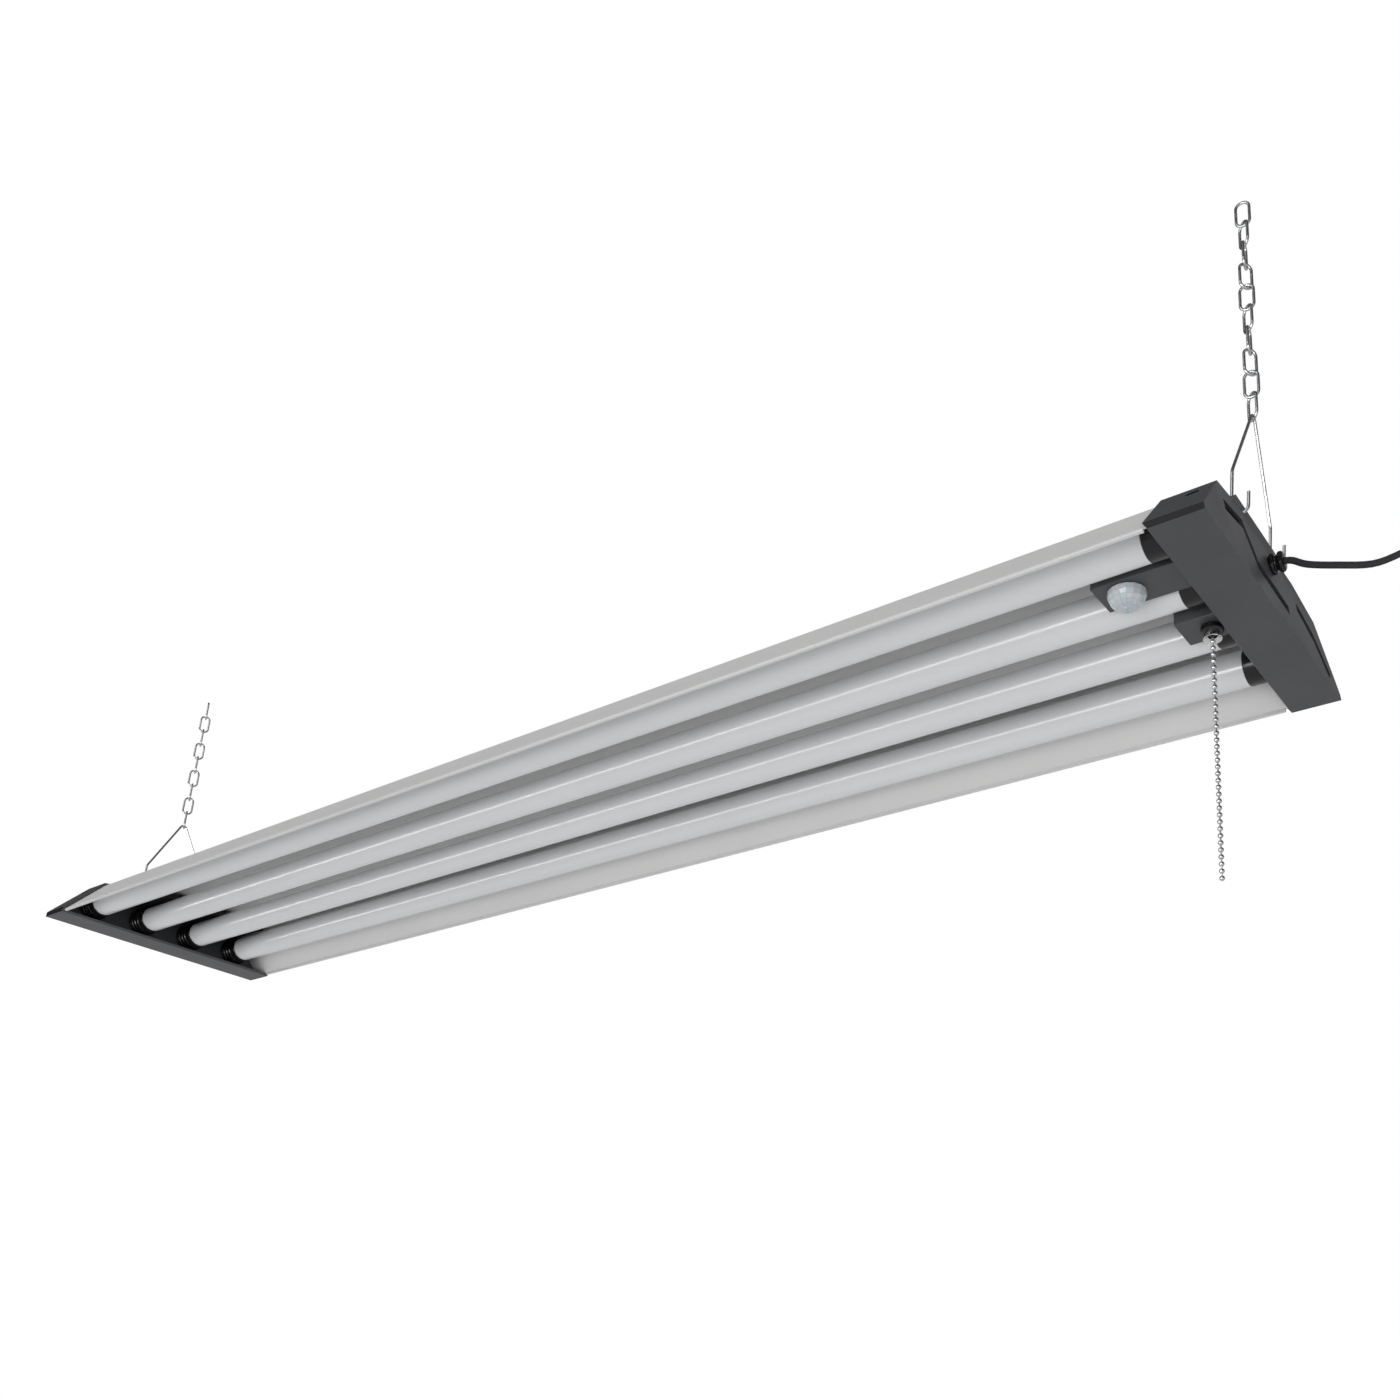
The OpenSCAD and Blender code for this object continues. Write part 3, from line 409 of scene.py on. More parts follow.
class Bench:
    """Modelling steps with Blender's own operators, on one piece at a time."""

    @staticmethod
    def clear() -> None:
        """Leave every piece unselected."""
        bpy.ops.object.select_all(action="DESELECT")

    @classmethod
    def take(cls, piece: Piece) -> None:
        """Make a piece the only selected and active one."""
        cls.clear()
        piece.select_set(True)
        bpy.context.view_layer.objects.active = piece

    @classmethod
    @contextmanager
    def editing(cls, piece: Piece, kind: str = "FACE") -> Iterator[None]:
        """Edit a piece's faces, edges or vertices, and leave edit mode afterwards."""
        cls.take(piece)
        bpy.ops.object.mode_set(mode="EDIT")
        bpy.ops.mesh.select_mode(type=kind)
        try:
            yield
        finally:
            bpy.ops.object.mode_set(mode="OBJECT")

    @staticmethod
    def added(name: str) -> Piece:
        """Name the primitive just added and move its place into its mesh."""
        piece = bpy.context.active_object
        piece.name = name
        piece.data.name = name
        bpy.ops.object.transform_apply(location=True, rotation=True, scale=True)
        return piece

    @staticmethod
    def pick(piece: Piece, test: Callable[[Vector, Vector], bool]) -> None:
        """Select the faces whose middle and normal pass a test, while editing."""
        mesh = bmesh.from_edit_mesh(piece.data)
        for face in mesh.faces:
            face.select_set(False)
        for face in [f for f in mesh.faces if test(f.calc_center_median(), f.normal)]:
            face.select_set(True)
        mesh.select_flush_mode()
        bmesh.update_edit_mesh(piece.data)

    @staticmethod
    def inset(thickness: float, depth: float, each: bool = False) -> None:
        """Inset the selected faces, together or each by itself, in millimetres."""
        bpy.ops.mesh.inset(thickness=thickness * MM, depth=depth * MM, use_individual=each)

    @staticmethod
    def around_z(centre: Vector, step: float) -> int:
        """Count the whole steps of so many degrees round Z to a face's middle."""
        return math.floor((math.degrees(math.atan2(centre.y, centre.x)) % 360) / step + 0.01)

    @classmethod
    def modifier(cls, piece: Piece, kind: str, **settings: Any) -> None:
        """Add a modifier with its settings and apply it."""
        cls.take(piece)
        made = piece.modifiers.new(kind.lower(), kind)
        for name, value in settings.items():
            setattr(made, name, value)
        bpy.ops.object.modifier_apply(modifier=made.name)

    @classmethod
    def rounded(cls, piece: Piece, width: float, steps: int, above: float) -> None:
        """Round the edges sharper than above degrees by width millimetres, in a few steps."""
        cls.modifier(piece, "BEVEL", width=width * MM, segments=steps, limit_method="ANGLE",
                     angle_limit=math.radians(above), use_clamp_overlap=True)

    @classmethod
    def smooth(cls, piece: Piece, angle: float = 32.0) -> None:
        """Point the faces outwards and shade them smooth up to an angle."""
        with cls.editing(piece):
            bpy.ops.mesh.select_all(action="SELECT")
            bpy.ops.mesh.normals_make_consistent(inside=False)
        cls.take(piece)
        bpy.ops.object.shade_smooth_by_angle(angle=math.radians(angle))

    @classmethod
    def put(cls, piece: Piece, move: Matrix) -> None:
        """Turn and move a piece and put the result into its mesh."""
        piece.matrix_world = move
        cls.take(piece)
        bpy.ops.object.transform_apply(location=True, rotation=True, scale=True)

    @classmethod
    def copied(cls, piece: Piece, name: str, move: Matrix) -> Piece:
        """Copy a piece with a mesh of its own, and put it where the move says."""
        twin = piece.copy()
        twin.data = piece.data.copy()
        twin.name = name
        twin.data.name = name
        show(twin)
        cls.put(twin, move)
        return twin

    @classmethod
    def turned(cls, name: str, profile: Sequence[tuple[float, float]], sides: int = 48,
               bore: tuple[float, float] | None = None) -> Piece:
        """Turn a piece about Z at the row's origin.

        Args:
            name: The piece's name.
            profile: Radius and height in millimetres from its first end to its last.
            sides: How many sides it has.
            bore: Radius and depth of a hole in its last end.

        Returns:
            The piece.
        """
        cls.clear()
        radius, height = profile[0]
        bpy.ops.mesh.primitive_circle_add(
            vertices=sides, radius=radius * MM, fill_type="NGON", location=(0, 0, height * MM))
        piece = cls.added(name)
        steps = list(profile[1:])
        if bore is not None:
            last = profile[-1][1]
            steps += [(bore[0], last), (bore[0], last - bore[1])]
        with cls.editing(piece):
            bpy.ops.mesh.select_all(action="SELECT")
            for next_radius, next_height in steps:
                bpy.ops.mesh.extrude_region_move(
                    TRANSFORM_OT_translate={"value": (0, 0, (next_height - height) * MM)})
                share = next_radius / radius
                bpy.ops.transform.resize(
                    value=(share, share, 1), center_override=(0, 0, next_height * MM))
                radius, height = next_radius, next_height
        return piece

    @classmethod
    def softened(cls, node: str, name: str, width: float) -> Piece:
        """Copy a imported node's form and round its edges by width millimetres.

        The copy's loose triangles are merged first. It stands for the node.
        """
        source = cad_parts[node]
        piece = source.copy()
        piece.data = source.data.copy()
        for key in list(piece.keys()):
            if key.startswith("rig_"):
                del piece[key]
        piece.name = name
        piece.data.name = name
        piece.parent = None
        show(piece)
        piece.matrix_world = Matrix.Identity(4)
        piece.data.materials.clear()
        with cls.editing(piece, "VERT"):
            bpy.ops.mesh.select_all(action="SELECT")
            bpy.ops.mesh.remove_doubles(threshold=MERGE_WITHIN * MM)
            bpy.ops.mesh.dissolve_limited(angle_limit=math.radians(FLAT_WITHIN))
        cls.rounded(piece, width, 2, 35.0)
        cls.smooth(piece)
        cls.modifier(piece, "WEIGHTED_NORMAL", mode="FACE_AREA", weight=100, keep_sharp=True)
        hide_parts(node)
        return piece


def dress(piece: Piece, finish: Finish, body: str) -> Piece:
    """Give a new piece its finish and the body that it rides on."""
    piece.data.materials.append(finish.material())
    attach(piece, body)
    LOG.info("%s: %d faces, %s", piece.name, len(piece.data.polygons), finish.name)
    return piece


def coat(finish: Finish, *nodes: str) -> None:
    """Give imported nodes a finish."""
    for name in nodes:
        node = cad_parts[name]
        if not node.material_slots:
            node.data.materials.append(finish.material())
        for held in node.material_slots:
            held.material = finish.material()
        LOG.info("%s: packed form, %s", name, finish.name)


def moved(x: float, y: float, z: float) -> Matrix:
    """Move to a place of the fixture, in millimetres."""
    return Matrix.Translation(at(x, y, z))


# ---- Studio ----


@dataclass(frozen=True)
class Lamp:
    """A soft lamp that the camera doesn't see: a disk, or a strip where it has a height of its own.

    A glint only shows in glossy surfaces.
    """

    name: str
    place: Triple
    target: Triple
    width: float
    power: float
    height: float | None = None
    glint: bool = False

    def hang(self) -> Piece:
        """Hang the lamp, turned to its target."""
        data = bpy.data.lights.new(self.name, "AREA")
        data.shape = "DISK" if self.height is None else "RECTANGLE"
        data.size = self.width
        if self.height is not None:
            data.size_y = self.height
        data.energy = self.power
        lamp = bpy.data.objects.new(self.name, data)
        lamp.location = self.place
        aim = Vector(self.target) - Vector(self.place)
        lamp.rotation_euler = aim.to_track_quat("-Z", "Y").to_euler()
        lamp.visible_camera = False
        lamp.visible_diffuse = not self.glint
        show(lamp)
        return lamp


@dataclass
class Studio:
    """Camera, floor, soft lights and pale surroundings; only the sensor is in millimetres."""

    focal_px: float = 1407.2874
    picture_px: float = 1400.0
    sensor: float = 36.0
    shift: tuple[float, float] = (-0.0964, 0.2143)
    clip: tuple[float, float] = (0.02, 60.0)
    eye: Triple = (0.83309, -0.71678, -0.77299)
    right: Triple = (0.81101526, 0.58319912, 0.04618472)
    up: Triple = (0.13987063, -0.26995168, 0.95266064)
    sight: Triple = (-0.56805849, 0.76616243, 0.30050737)
    floor_height: float = -0.98
    floor_size: float = 60.0
    floor_tone: float = 0.86
    floor_glow: float = 0.5
    floor_fade: tuple[float, float] = (1.5, 9.0)
    ambient: tuple[float, float] = (0.05, 0.70)
    mirrored: tuple[float, float] = (0.6, 0.10)
    horizon: tuple[float, float] = (-0.25, 0.35)
    lamps: list[Lamp] = field(default_factory=lambda: [
        Lamp("lamp_low_front", (0.35, -1.35, -0.93), (0.1, 0.0, -0.28), 1.3, 8.2),
        Lamp("lamp_low_right", (0.9, -0.5, -0.94), (0.2, 0.0, -0.28), 1.0, 1.2),
        Lamp("lamp_high_front", (-0.6, -1.6, 0.9), (0.0, 0.0, -0.25), 1.4, 3.8),
        Lamp("lamp_high_back", (0.4, 1.6, 1.0), (0.0, 0.0, -0.25), 1.4, 2.8),
        Lamp("glint_strip", (-1.4, -1.5, -0.73), (-1.4, 0.0, -0.28), 5.0, 26.0, 0.22, glint=True),
        Lamp("glint_window", (0.2, -1.3, -0.82), (0.54, -0.05, -0.30), 0.16, 1.2, 0.2, glint=True),
        Lamp("glint_high", (0.2, -1.5, 0.75), (0.2, 0.0, -0.28), 3.4, 4.5, 0.25, glint=True),
    ])

    def camera(self) -> None:
        """Stand the camera where the photograph was taken."""
        data = bpy.data.cameras.new("view")
        data.sensor_fit = "HORIZONTAL"
        data.sensor_width = self.sensor
        data.lens = self.sensor * self.focal_px / self.picture_px
        data.shift_x, data.shift_y = self.shift
        data.clip_start, data.clip_end = self.clip
        camera = bpy.data.objects.new("view", data)
        turn = Matrix((self.right, self.up, tuple(-c for c in self.sight))).transposed().to_4x4()
        camera.matrix_world = Matrix.Translation(Vector(self.eye)) @ turn
        show(camera)
        bpy.context.scene.camera = camera

    def floor_paint(self) -> bpy.types.Material:
        """Paint that is seen paler than it is lit, and turns white where the floor ends."""
        paint = bpy.data.materials.new("floor_paint")
        graph = Graph(paint)
        seen = graph.number("ShaderNodeLightPath", output="Is Camera Ray")
        where = graph.node("ShaderNodeTexCoord").outputs["Object"]
        away = graph.number("ShaderNodeVectorMath", {"operation": "LENGTH"}, {0: where}, "Value")
        far = away.smooth(*self.floor_fade)
        glow = seen * (self.floor_glow + far * (1 - self.floor_glow))
        shader = graph.node("ShaderNodeBsdfPrincipled", {}, {
            "Base Color": (1 - glow) * self.floor_tone, "Roughness": 0.85,
            "Specular IOR Level": 0.0, "Emission Color": glow, "Emission Strength": 1.0})
        graph.node("ShaderNodeOutputMaterial", {}, {"Surface": shader.outputs[0]})
        return paint

    def floor(self) -> Piece:
        """Lay a pale floor that keeps the light's shadow."""
        Bench.clear()
        bpy.ops.mesh.primitive_plane_add(size=self.floor_size, location=(0, 0, self.floor_height))
        piece = Bench.added("floor")
        with Bench.editing(piece):
            bpy.ops.mesh.select_all(action="SELECT")
            bpy.ops.mesh.subdivide(number_cuts=2)
        piece.data.materials.append(self.floor_paint())
        return piece

    def surroundings(self) -> None:
        """Show white behind the light, and light it with less."""
        world = bpy.data.worlds.new("surroundings")
        bpy.context.scene.world = world
        graph = Graph(world)
        path = graph.node("ShaderNodeLightPath")
        seen = Number(graph, path.outputs["Is Camera Ray"])
        seen = seen.top(Number(graph, path.outputs["Is Transmission Ray"]))
        mirrored = Number(graph, path.outputs["Is Glossy Ray"])
        toward = graph.node("ShaderNodeTexCoord").outputs["Generated"]
        split = graph.node("ShaderNodeSeparateXYZ", {}, {0: toward})
        rise = Number(graph, split.outputs[2]).smooth(*self.horizon)
        low, high = self.ambient
        below, above = self.mirrored
        soft = low + rise * (high - low)
        shiny = below + rise * (above - below)
        strength = seen + (1 - seen) * (soft + mirrored * (shiny - soft))
        white = (1.0, 1.0, 1.0)
        back = graph.node("ShaderNodeBackground", {}, {"Color": white, "Strength": strength})
        graph.node("ShaderNodeOutputWorld", {}, {"Surface": back.outputs[0]})

    def lights(self, floor: Piece) -> None:
        """Hang the soft lamps, and keep the low ones from burning out the floor under them."""
        spared = bpy.data.collections.new("spared_by_low_lamps")
        spared.objects.link(floor)
        spared.collection_objects[0].light_linking.link_state = "EXCLUDE"
        for lamp in self.lamps:
            hung = lamp.hang()
            if lamp.place[2] < 0:
                hung.light_linking.receiver_collection = spared

    def build(self) -> None:
        """Set the picture up."""
        bpy.context.scene.view_settings.view_transform = "Standard"
        self.camera()
        self.surroundings()
        self.lights(self.floor())


# ---- Cord ----


@dataclass
class CordSet:
    """Twin cord from the strain relief to its plug, with the spare length coiled and tied.

    The section is two round cores whose middles lie apart on either side of the cord's own middle.
    """

    width: float = 4.6
    core: float = 1.5
    apart: float = 0.8
    relief_end: float = 614.0
    relief_height: float = 35.0
    coil_radius: float = 37.0
    coil_turns: int = 2
    coil_layers: int = 4
    coil_clear: float = 0.5
    rings: int = 48
    around: int = 18
    start_across: Triple = (0.0, 0.25, 0.97)
    curve_steps: int = 4
    tail_steps: int = 6
    plug: Triple = (24.0, 18.0, 32.0)
    plug_cuts: tuple[float, float] = (0.42, 0.78)
    plug_neck: tuple[float, float] = (0.5, 0.56)
    plug_collar: tuple[float, float] = (0.72, 0.7)
    plug_collar_long: float = 3.5
    groove_step: float = 15.0  # degrees
    groove_from: float = 5.8
    route: list[Triple] = field(default_factory=lambda: [
        (614.0, 0.0, 35.0), (618.6, 1.0, 34.0), (626.0, 5.0, 31.0), (642.0, 9.0, 27.0),
        (660.0, 12.0, 23.0), (676.0, 9.0, 22.0), (700.0, 3.0, 23.0), (722.0, -2.0, 18.0),
        (742.0, -5.0, 4.0), (755.0, -6.0, -17.0), (760.0, -6.0, -42.0), (760.0, -6.0, -60.0)])

    @staticmethod
    def _curve(points: Sequence[Vector], steps: int) -> list[Vector]:
        """Run a smooth line through points, with a few steps between each two."""
        line: list[Vector] = []
        last = len(points) - 1
        for i in range(last):
            a, b = points[max(i - 1, 0)], points[i]
            c, d = points[i + 1], points[min(i + 2, last)]
            for k in range(steps):
                t = k / steps
                line.append((2 * b + (c - a) * t + (2 * a - 5 * b + 4 * c - d) * t * t
                             + (3 * b - a - 3 * c + d) * t * t * t) / 2)
        line.append(points[last].copy())
        return line

    def _spiral(self, turns_done: float) -> Vector:
        """Place on the coil after a number of turns, in millimetres."""
        step = self.width + self.coil_clear
        within = turns_done % (2 * self.coil_turns)
        folded = within if within < self.coil_turns else 2 * self.coil_turns - within
        rise = sum(min(1.0, max(0.0, 2 * (turns_done - n * self.coil_turns) + 0.5))
                   for n in range(1, self.coil_layers))
        radius = self.coil_radius - step * folded
        angle = -2 * math.pi * turns_done
        start = Vector(self.route[-1])
        centre = start - Vector((self.coil_radius, 0.0, self.width))
        return centre + Vector((radius * math.cos(angle), step * rise, radius * math.sin(angle)))

    def path(self) -> list[Vector]:
        """The cord's whole line in millimetres, from the strain relief to the plug."""
        line = self._curve([Vector(p) for p in self.route], self.curve_steps)
        loops = self.coil_layers * self.coil_turns
        line += [self._spiral(k / self.rings) for k in range(loops * self.rings + 1)]
        end = self._spiral(loops)
        tail = self.coil_radius + 2 * self.width
        line += [end - Vector((0, 0, tail * k / self.tail_steps))
                 for k in range(1, self.tail_steps + 1)]
        return line

    def _section(self, point: Vector, side: Vector, other: Vector) -> list[Vector]:
        """One ring of the twin section round a point, in metres."""
        ring = []
        for k in range(self.around):
            t = 2 * math.pi * k / self.around
            out = math.sqrt(self.core ** 2 - (self.apart * math.sin(t)) ** 2)
            rho = self.apart * abs(math.cos(t)) + out
            ring.append(at(*(point + rho * (math.cos(t) * side + math.sin(t) * other))))
        return ring

    def jacket(self) -> Piece:
        """Sweep the twin section along the whole line."""
        line = self.path()
        mesh = bpy.data.meshes.new("cord_twin")
        work = bmesh.new()
        layer = work.loops.layers.uv.new("along")
        heading = Vector((1, 0, 0))
        side = Vector(self.start_across).normalized()
        rows: list[list[bmesh.types.BMVert]] = []
        reached, lengths = 0.0, []
        for i, point in enumerate(line):
            before, after = line[max(i - 1, 0)], line[min(i + 1, len(line) - 1)]
            if i > 0:
                heading = (after - before).normalized()
                reached += (point - before).length
            lengths.append(reached * MM)
            side = (side - heading * side.dot(heading)).normalized()
            rows.append([work.verts.new(place)
                         for place in self._section(point, side, heading.cross(side))])
        for i in range(len(rows) - 1):
            for k in range(self.around):
                n = (k + 1) % self.around
                face = work.faces.new((rows[i][k], rows[i][n], rows[i + 1][n], rows[i + 1][k]))
                face.smooth = True
                corners = ((i, k), (i, k + 1), (i + 1, k + 1), (i + 1, k))
                for loop, (a, b) in zip(face.loops, corners):
                    loop[layer].uv = (lengths[a], b / self.around)
        work.faces.new(list(reversed(rows[0])))
        work.faces.new(rows[-1])
        bmesh.ops.recalc_face_normals(work, faces=work.faces)
        work.to_mesh(mesh)
        work.free()
        piece = bpy.data.objects.new("cord_twin", mesh)
        show(piece)
        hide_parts("cord", "cord_coil")
        return dress(piece, JACKET, "fixture")

    def tie(self) -> Piece:
        """Strap round the coil, with rounded edges."""
        strap = Bench.softened("cord_tie", "coil_strap", 0.35)
        return dress(strap, SOFT_BLACK, "fixture")

    def plug_piece(self) -> Piece:
        """Moulded plug: tapered towards the cord, with finger grips and a collar."""
        wide, deep, long = self.plug
        end = self.path()[-1]
        head, low = at(*end), at(*end).z - long * MM
        Bench.clear()
        bpy.ops.mesh.primitive_cube_add(size=1.0, location=at(end.x, end.y, end.z - long / 2),
                                        scale=(wide * MM, deep * MM, long * MM))
        piece = Bench.added("plug_moulding")

        def between(z: float, first: float, last: float) -> bool:
            """Tell whether a height lies between two shares of the plug's length."""
            return low + first * long * MM < z < low + last * long * MM

        with Bench.editing(piece):
            for share in self.plug_cuts:
                bpy.ops.mesh.select_all(action="SELECT")
                bpy.ops.mesh.bisect(plane_co=(0, 0, low + share * long * MM), plane_no=(0, 0, 1))
            Bench.pick(piece, lambda c, n: n.z > 0.9)
            bpy.ops.transform.resize(value=(*self.plug_neck, 1), center_override=head)
            bpy.ops.mesh.extrude_region_move(
                TRANSFORM_OT_translate={"value": (0, 0, -self.plug_collar_long * MM)})
            bpy.ops.transform.resize(value=(*self.plug_collar, 1), center_override=head)
            Bench.pick(piece, lambda c, n: abs(n.y) > 0.9 and between(c.z, 0.45, 0.75))
            Bench.inset(2.2, -0.8)
            Bench.pick(piece, lambda c, n: abs(n.x) > 0.9 and between(c.z, 0.0, 0.4))
            Bench.inset(2.0, -0.5)
        Bench.rounded(piece, 1.3, 3, 20.0)
        Bench.smooth(piece)
        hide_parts("plug_body")
        return dress(piece, SOFT_BLACK, "fixture")

    def relief(self) -> None:
        """Strain relief: two lobed flanges on a grooved waist."""
        piece = Bench.turned("relief_bushing", [
            (4.4, -12.5), (4.7, -12.2), (4.7, -7.8), (6.0, -7.7), (6.5, -7.2), (6.5, -5.6),
            (6.1, -5.1), (4.5, -5.0), (4.5, -3.0), (5.8, -2.9), (6.3, -2.4), (6.2, -0.8),
            (5.4, -0.1), (3.6, 0.0)], sides=24)

        def groove(c: Vector, n: Vector) -> bool:
            """Pick two of every six side faces of both flanges."""
            outer = abs(n.z) < 0.3 and math.hypot(c.x, c.y) > self.groove_from * MM
            return outer and Bench.around_z(c, self.groove_step) % 6 in (0, 1)

        with Bench.editing(piece):
            Bench.pick(piece, groove)
            Bench.inset(0.2, -1.2)
        Bench.rounded(piece, 0.18, 2, 40.0)
        Bench.smooth(piece, 40.0)
        Bench.put(piece, moved(self.relief_end, 0, self.relief_height) @ ALONG_X)
        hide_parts("strain_relief")
        dress(piece, GLOSS_BLACK, "fixture")

    def build(self) -> None:
        """Make the cord and what is on it."""
        cord, strap, plug = self.jacket(), self.tie(), self.plug_piece()
        self.relief()
        coat(BRASS, "plug_blades")
        line = [at(*p) for p in self.path()]


# ---- The light's own sub-assemblies ----


class Reflector:
    """Folded sheet, its raised cover and what lies under that."""

    def build(self) -> None:
        """Round the folded sheet's edges and dress what lies above it."""
        sheet = Bench.softened("housing", "reflector_sheet", 0.3)
        dress(sheet, WHITE_ENAMEL, "fixture")
        coat(WHITE_ENAMEL, "top_channel")
        coat(TIN_PLATE, "driver")
        coat(WIRE_JACKET, "supply_wires", "lamp_wires")


@dataclass
class EndCaps:
    """Both moulded end caps and their screws."""

    edge: float = 0.45
    lip_height: float = 4.6
    lip_out: float = 114.4
    slot_x: float = 594.0
    slot_y: float = 90.4
    slot_z: float = 31.7
    slot_reach: float = 5.5
    wall_out: tuple[float, float] = (0.742, 0.671)
    screw_x: float = 592.0
    screw_y: float = 61.5
    screw_z: float = 43.5
    screw_top: float = 1.4
    roof_lean: float = 6.95  # degrees

    def in_snap_slot(self, centre: Vector, normal: Vector) -> bool:
        """Tell by its centre and normal whether a face is one of a snap slot's four walls."""
        slot = at(self.slot_x, self.slot_y, self.slot_z)
        away = Vector((abs(centre.x), abs(centre.y), centre.z)) - slot
        across = math.copysign(self.wall_out[0], centre.y)
        outward = normal.y * across + normal.z * self.wall_out[1]
        return away.length < self.slot_reach * MM and abs(outward) < 0.5

    def cap(self, side: str) -> None:
        """One cap with rounded edges; its polished lower lip and its snap slots' walls take a
        darker gloss charcoal, painted shade of the lip's step and of the slots' recesses.
        """
        piece = Bench.softened(f"end_cap_{side}", f"cap_moulding_{side}", self.edge)
        dress(piece, CHARCOAL, "fixture")
        piece.data.materials.append(GLOSS_CHARCOAL_PAINTED_SHADE.material())
        limit = at(0, 0, self.lip_height).z
        for face in piece.data.polygons:
            low = abs(face.center.y) > self.lip_out * MM and face.center.z < limit
            lip = low and abs(face.normal.y) > 0.8
            # Lip faces and snap slot walls take the darker charcoal: a polished lip, darkened as
            # painted shade, and painted shade in the slots
            if lip or self.in_snap_slot(face.center, face.normal):
                face.material_index = 1

    def screws(self) -> None:
        """Cross-recessed screws, one modelled and the rest copied."""
        first = Bench.turned("screw_pattern", [
            (0.4, -6.0), (1.4, -5.2), (1.5, 0.0), (2.95, 0.9), (3.0, 1.25), (2.6, 1.5)], sides=24)
        with Bench.editing(first):
            Bench.pick(first, lambda c, n: n.z > 0.9 and c.z > self.screw_top * MM)
            Bench.inset(0.4, 0.1)
            Bench.inset(1.1, 0.0)
            bpy.ops.mesh.extrude_region_move(TRANSFORM_OT_translate={"value": (0, 0, -0.7 * MM)})
            bpy.ops.transform.resize(value=(0.5, 0.5, 1), center_override=(0, 0, 0))
        Bench.smooth(first, 30.0)
        for end, side_name in ((1, "right"), (-1, "left")):
            for sy, side in (("near", -1), ("far", 1)):
                tilt = Matrix.Rotation(math.radians(-side * self.roof_lean), 4, "X")
                move = moved(end * self.screw_x, side * self.screw_y, self.screw_z) @ tilt
                twin = Bench.copied(first, f"screw_{side_name}_{sy}", move)
                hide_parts(f"cap_screws_{side_name}")
                dress(twin, STEEL_SCREW, "fixture")
        bpy.data.objects.remove(first)

    def build(self) -> None:
        """Make both caps and the screws."""
        for side in ("right", "left"):
            self.cap(side)
        self.screws()


@dataclass
class Tubes:
    """Four opal tubes with their boards, lamps and collars.

    Collars start at back, in the cap, and end at a face; ribs are pitched along the left ones.
    """

    height: float = 20.0
    collar_radius: float = 12.7
    right_face: float = 563.0
    left_face: float = 571.0
    back: float = 594.0
    bore: tuple[float, float] = (11.6, 8.0)
    ribs: int = 3
    rib_from: float = 6.4
    rib_pitch: float = 4.6

    @staticmethod
    def tube_y(number: int) -> float:
        """Distance of a packed tube from the middle, in millimetres."""
        return middle_of(f"tube_{number}").y / MM

    def collars(self) -> None:
        """Smooth collars at the right end, ribbed ones at the left."""
        r = self.collar_radius
        long_right = self.back - self.right_face
        long_left = self.back - self.left_face
        smooth = Bench.turned("collar_right_pattern", [
            (r - 1.0, 0.0), (r, 0.6), (r, long_right - 1.0), (r - 0.15, long_right - 0.3),
            (r - 0.28, long_right)], sides=64, bore=self.bore)
        profile = [(r - 0.6, 0.0), (r + 1.9, 0.4), (r + 1.9, 6.0)]
        for n in range(self.ribs):
            low = self.rib_from + n * self.rib_pitch
            inner, outer = r + 1.0 - 0.3 * n, r + 1.5 - 0.4 * n
            profile += [(inner, low), (inner, low + 2.4), (outer, low + 3.0), (outer, low + 4.0)]
        profile += [(r + 0.3, long_left - 2.2), (r + 0.3, long_left - 0.6), (r - 0.28, long_left)]
        ribbed = Bench.turned("collar_left_pattern", profile, sides=64, bore=self.bore)
        for pattern in (smooth, ribbed):
            Bench.rounded(pattern, 0.25, 2, 30.0)
            Bench.smooth(pattern, 35.0)
        for number in TUBE_NUMBERS:
            y = self.tube_y(number)
            for side, pattern, end, turn in (("right", smooth, self.back, BACK_ALONG_X),
                                             ("left", ribbed, -self.back, ALONG_X)):
                move = moved(end, y, self.height) @ turn
                twin = Bench.copied(pattern, f"collar_{side}_{number}", move)
                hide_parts(f"socket_{side}_{number}")
                dress(twin, GLOSS_BLACK, "fixture")
        for pattern in (smooth, ribbed):
            bpy.data.objects.remove(pattern)

    def build(self) -> None:
        """Dress the tubes and make their collars."""
        for number in TUBE_NUMBERS:
            coat(OPAL, f"tube_{number}")
            coat(WHITE_BOARD, f"led_board_{number}")
            coat(PHOSPHOR, f"led_row_{number}")
        self.collars()
        coat(SOFT_BLACK, "base_cover_left")


@dataclass
class Sensor:
    """Plate with the movement sensor's lens, detector and board."""

    face: float = 9.7
    radius: float = 11.5
    rim: float = 1.0
    x: float = field(default_factory=lambda: middle_of("sensor_dome").x / MM)
    y: float = field(default_factory=lambda: middle_of("sensor_dome").y / MM)

    def lens(self) -> None:
        """Half-round lens with small facets and a rim."""
        middle = at(self.x, self.y, self.face)
        Bench.clear()
        bpy.ops.mesh.primitive_uv_sphere_add(
            segments=16, ring_count=12, radius=self.radius * MM, location=middle)
        piece = Bench.added("sensor_lens")
        with Bench.editing(piece):
            bpy.ops.mesh.select_all(action="SELECT")
            bpy.ops.mesh.bisect(
                plane_co=middle, plane_no=(0, 0, 1), clear_outer=True, use_fill=True)
            Bench.pick(piece, lambda c, n: n.z < 0.5 and c.z < middle.z - self.rim * MM)
            Bench.inset(0.14, 0.22, each=True)
        Bench.smooth(piece, 9.0)
        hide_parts("sensor_dome")
        dress(piece, LENS, "fixture")

    def build(self) -> None:
        """Make the lens, soften the plate and dress what is behind."""
        plate = Bench.softened("sensor_plate", "sensor_plate_moulding", 0.5)
        dress(plate, CHARCOAL, "fixture")
        self.lens()
        coat(CAN, "sensor_can")
        coat(GREEN_BOARD, "sensor_board")


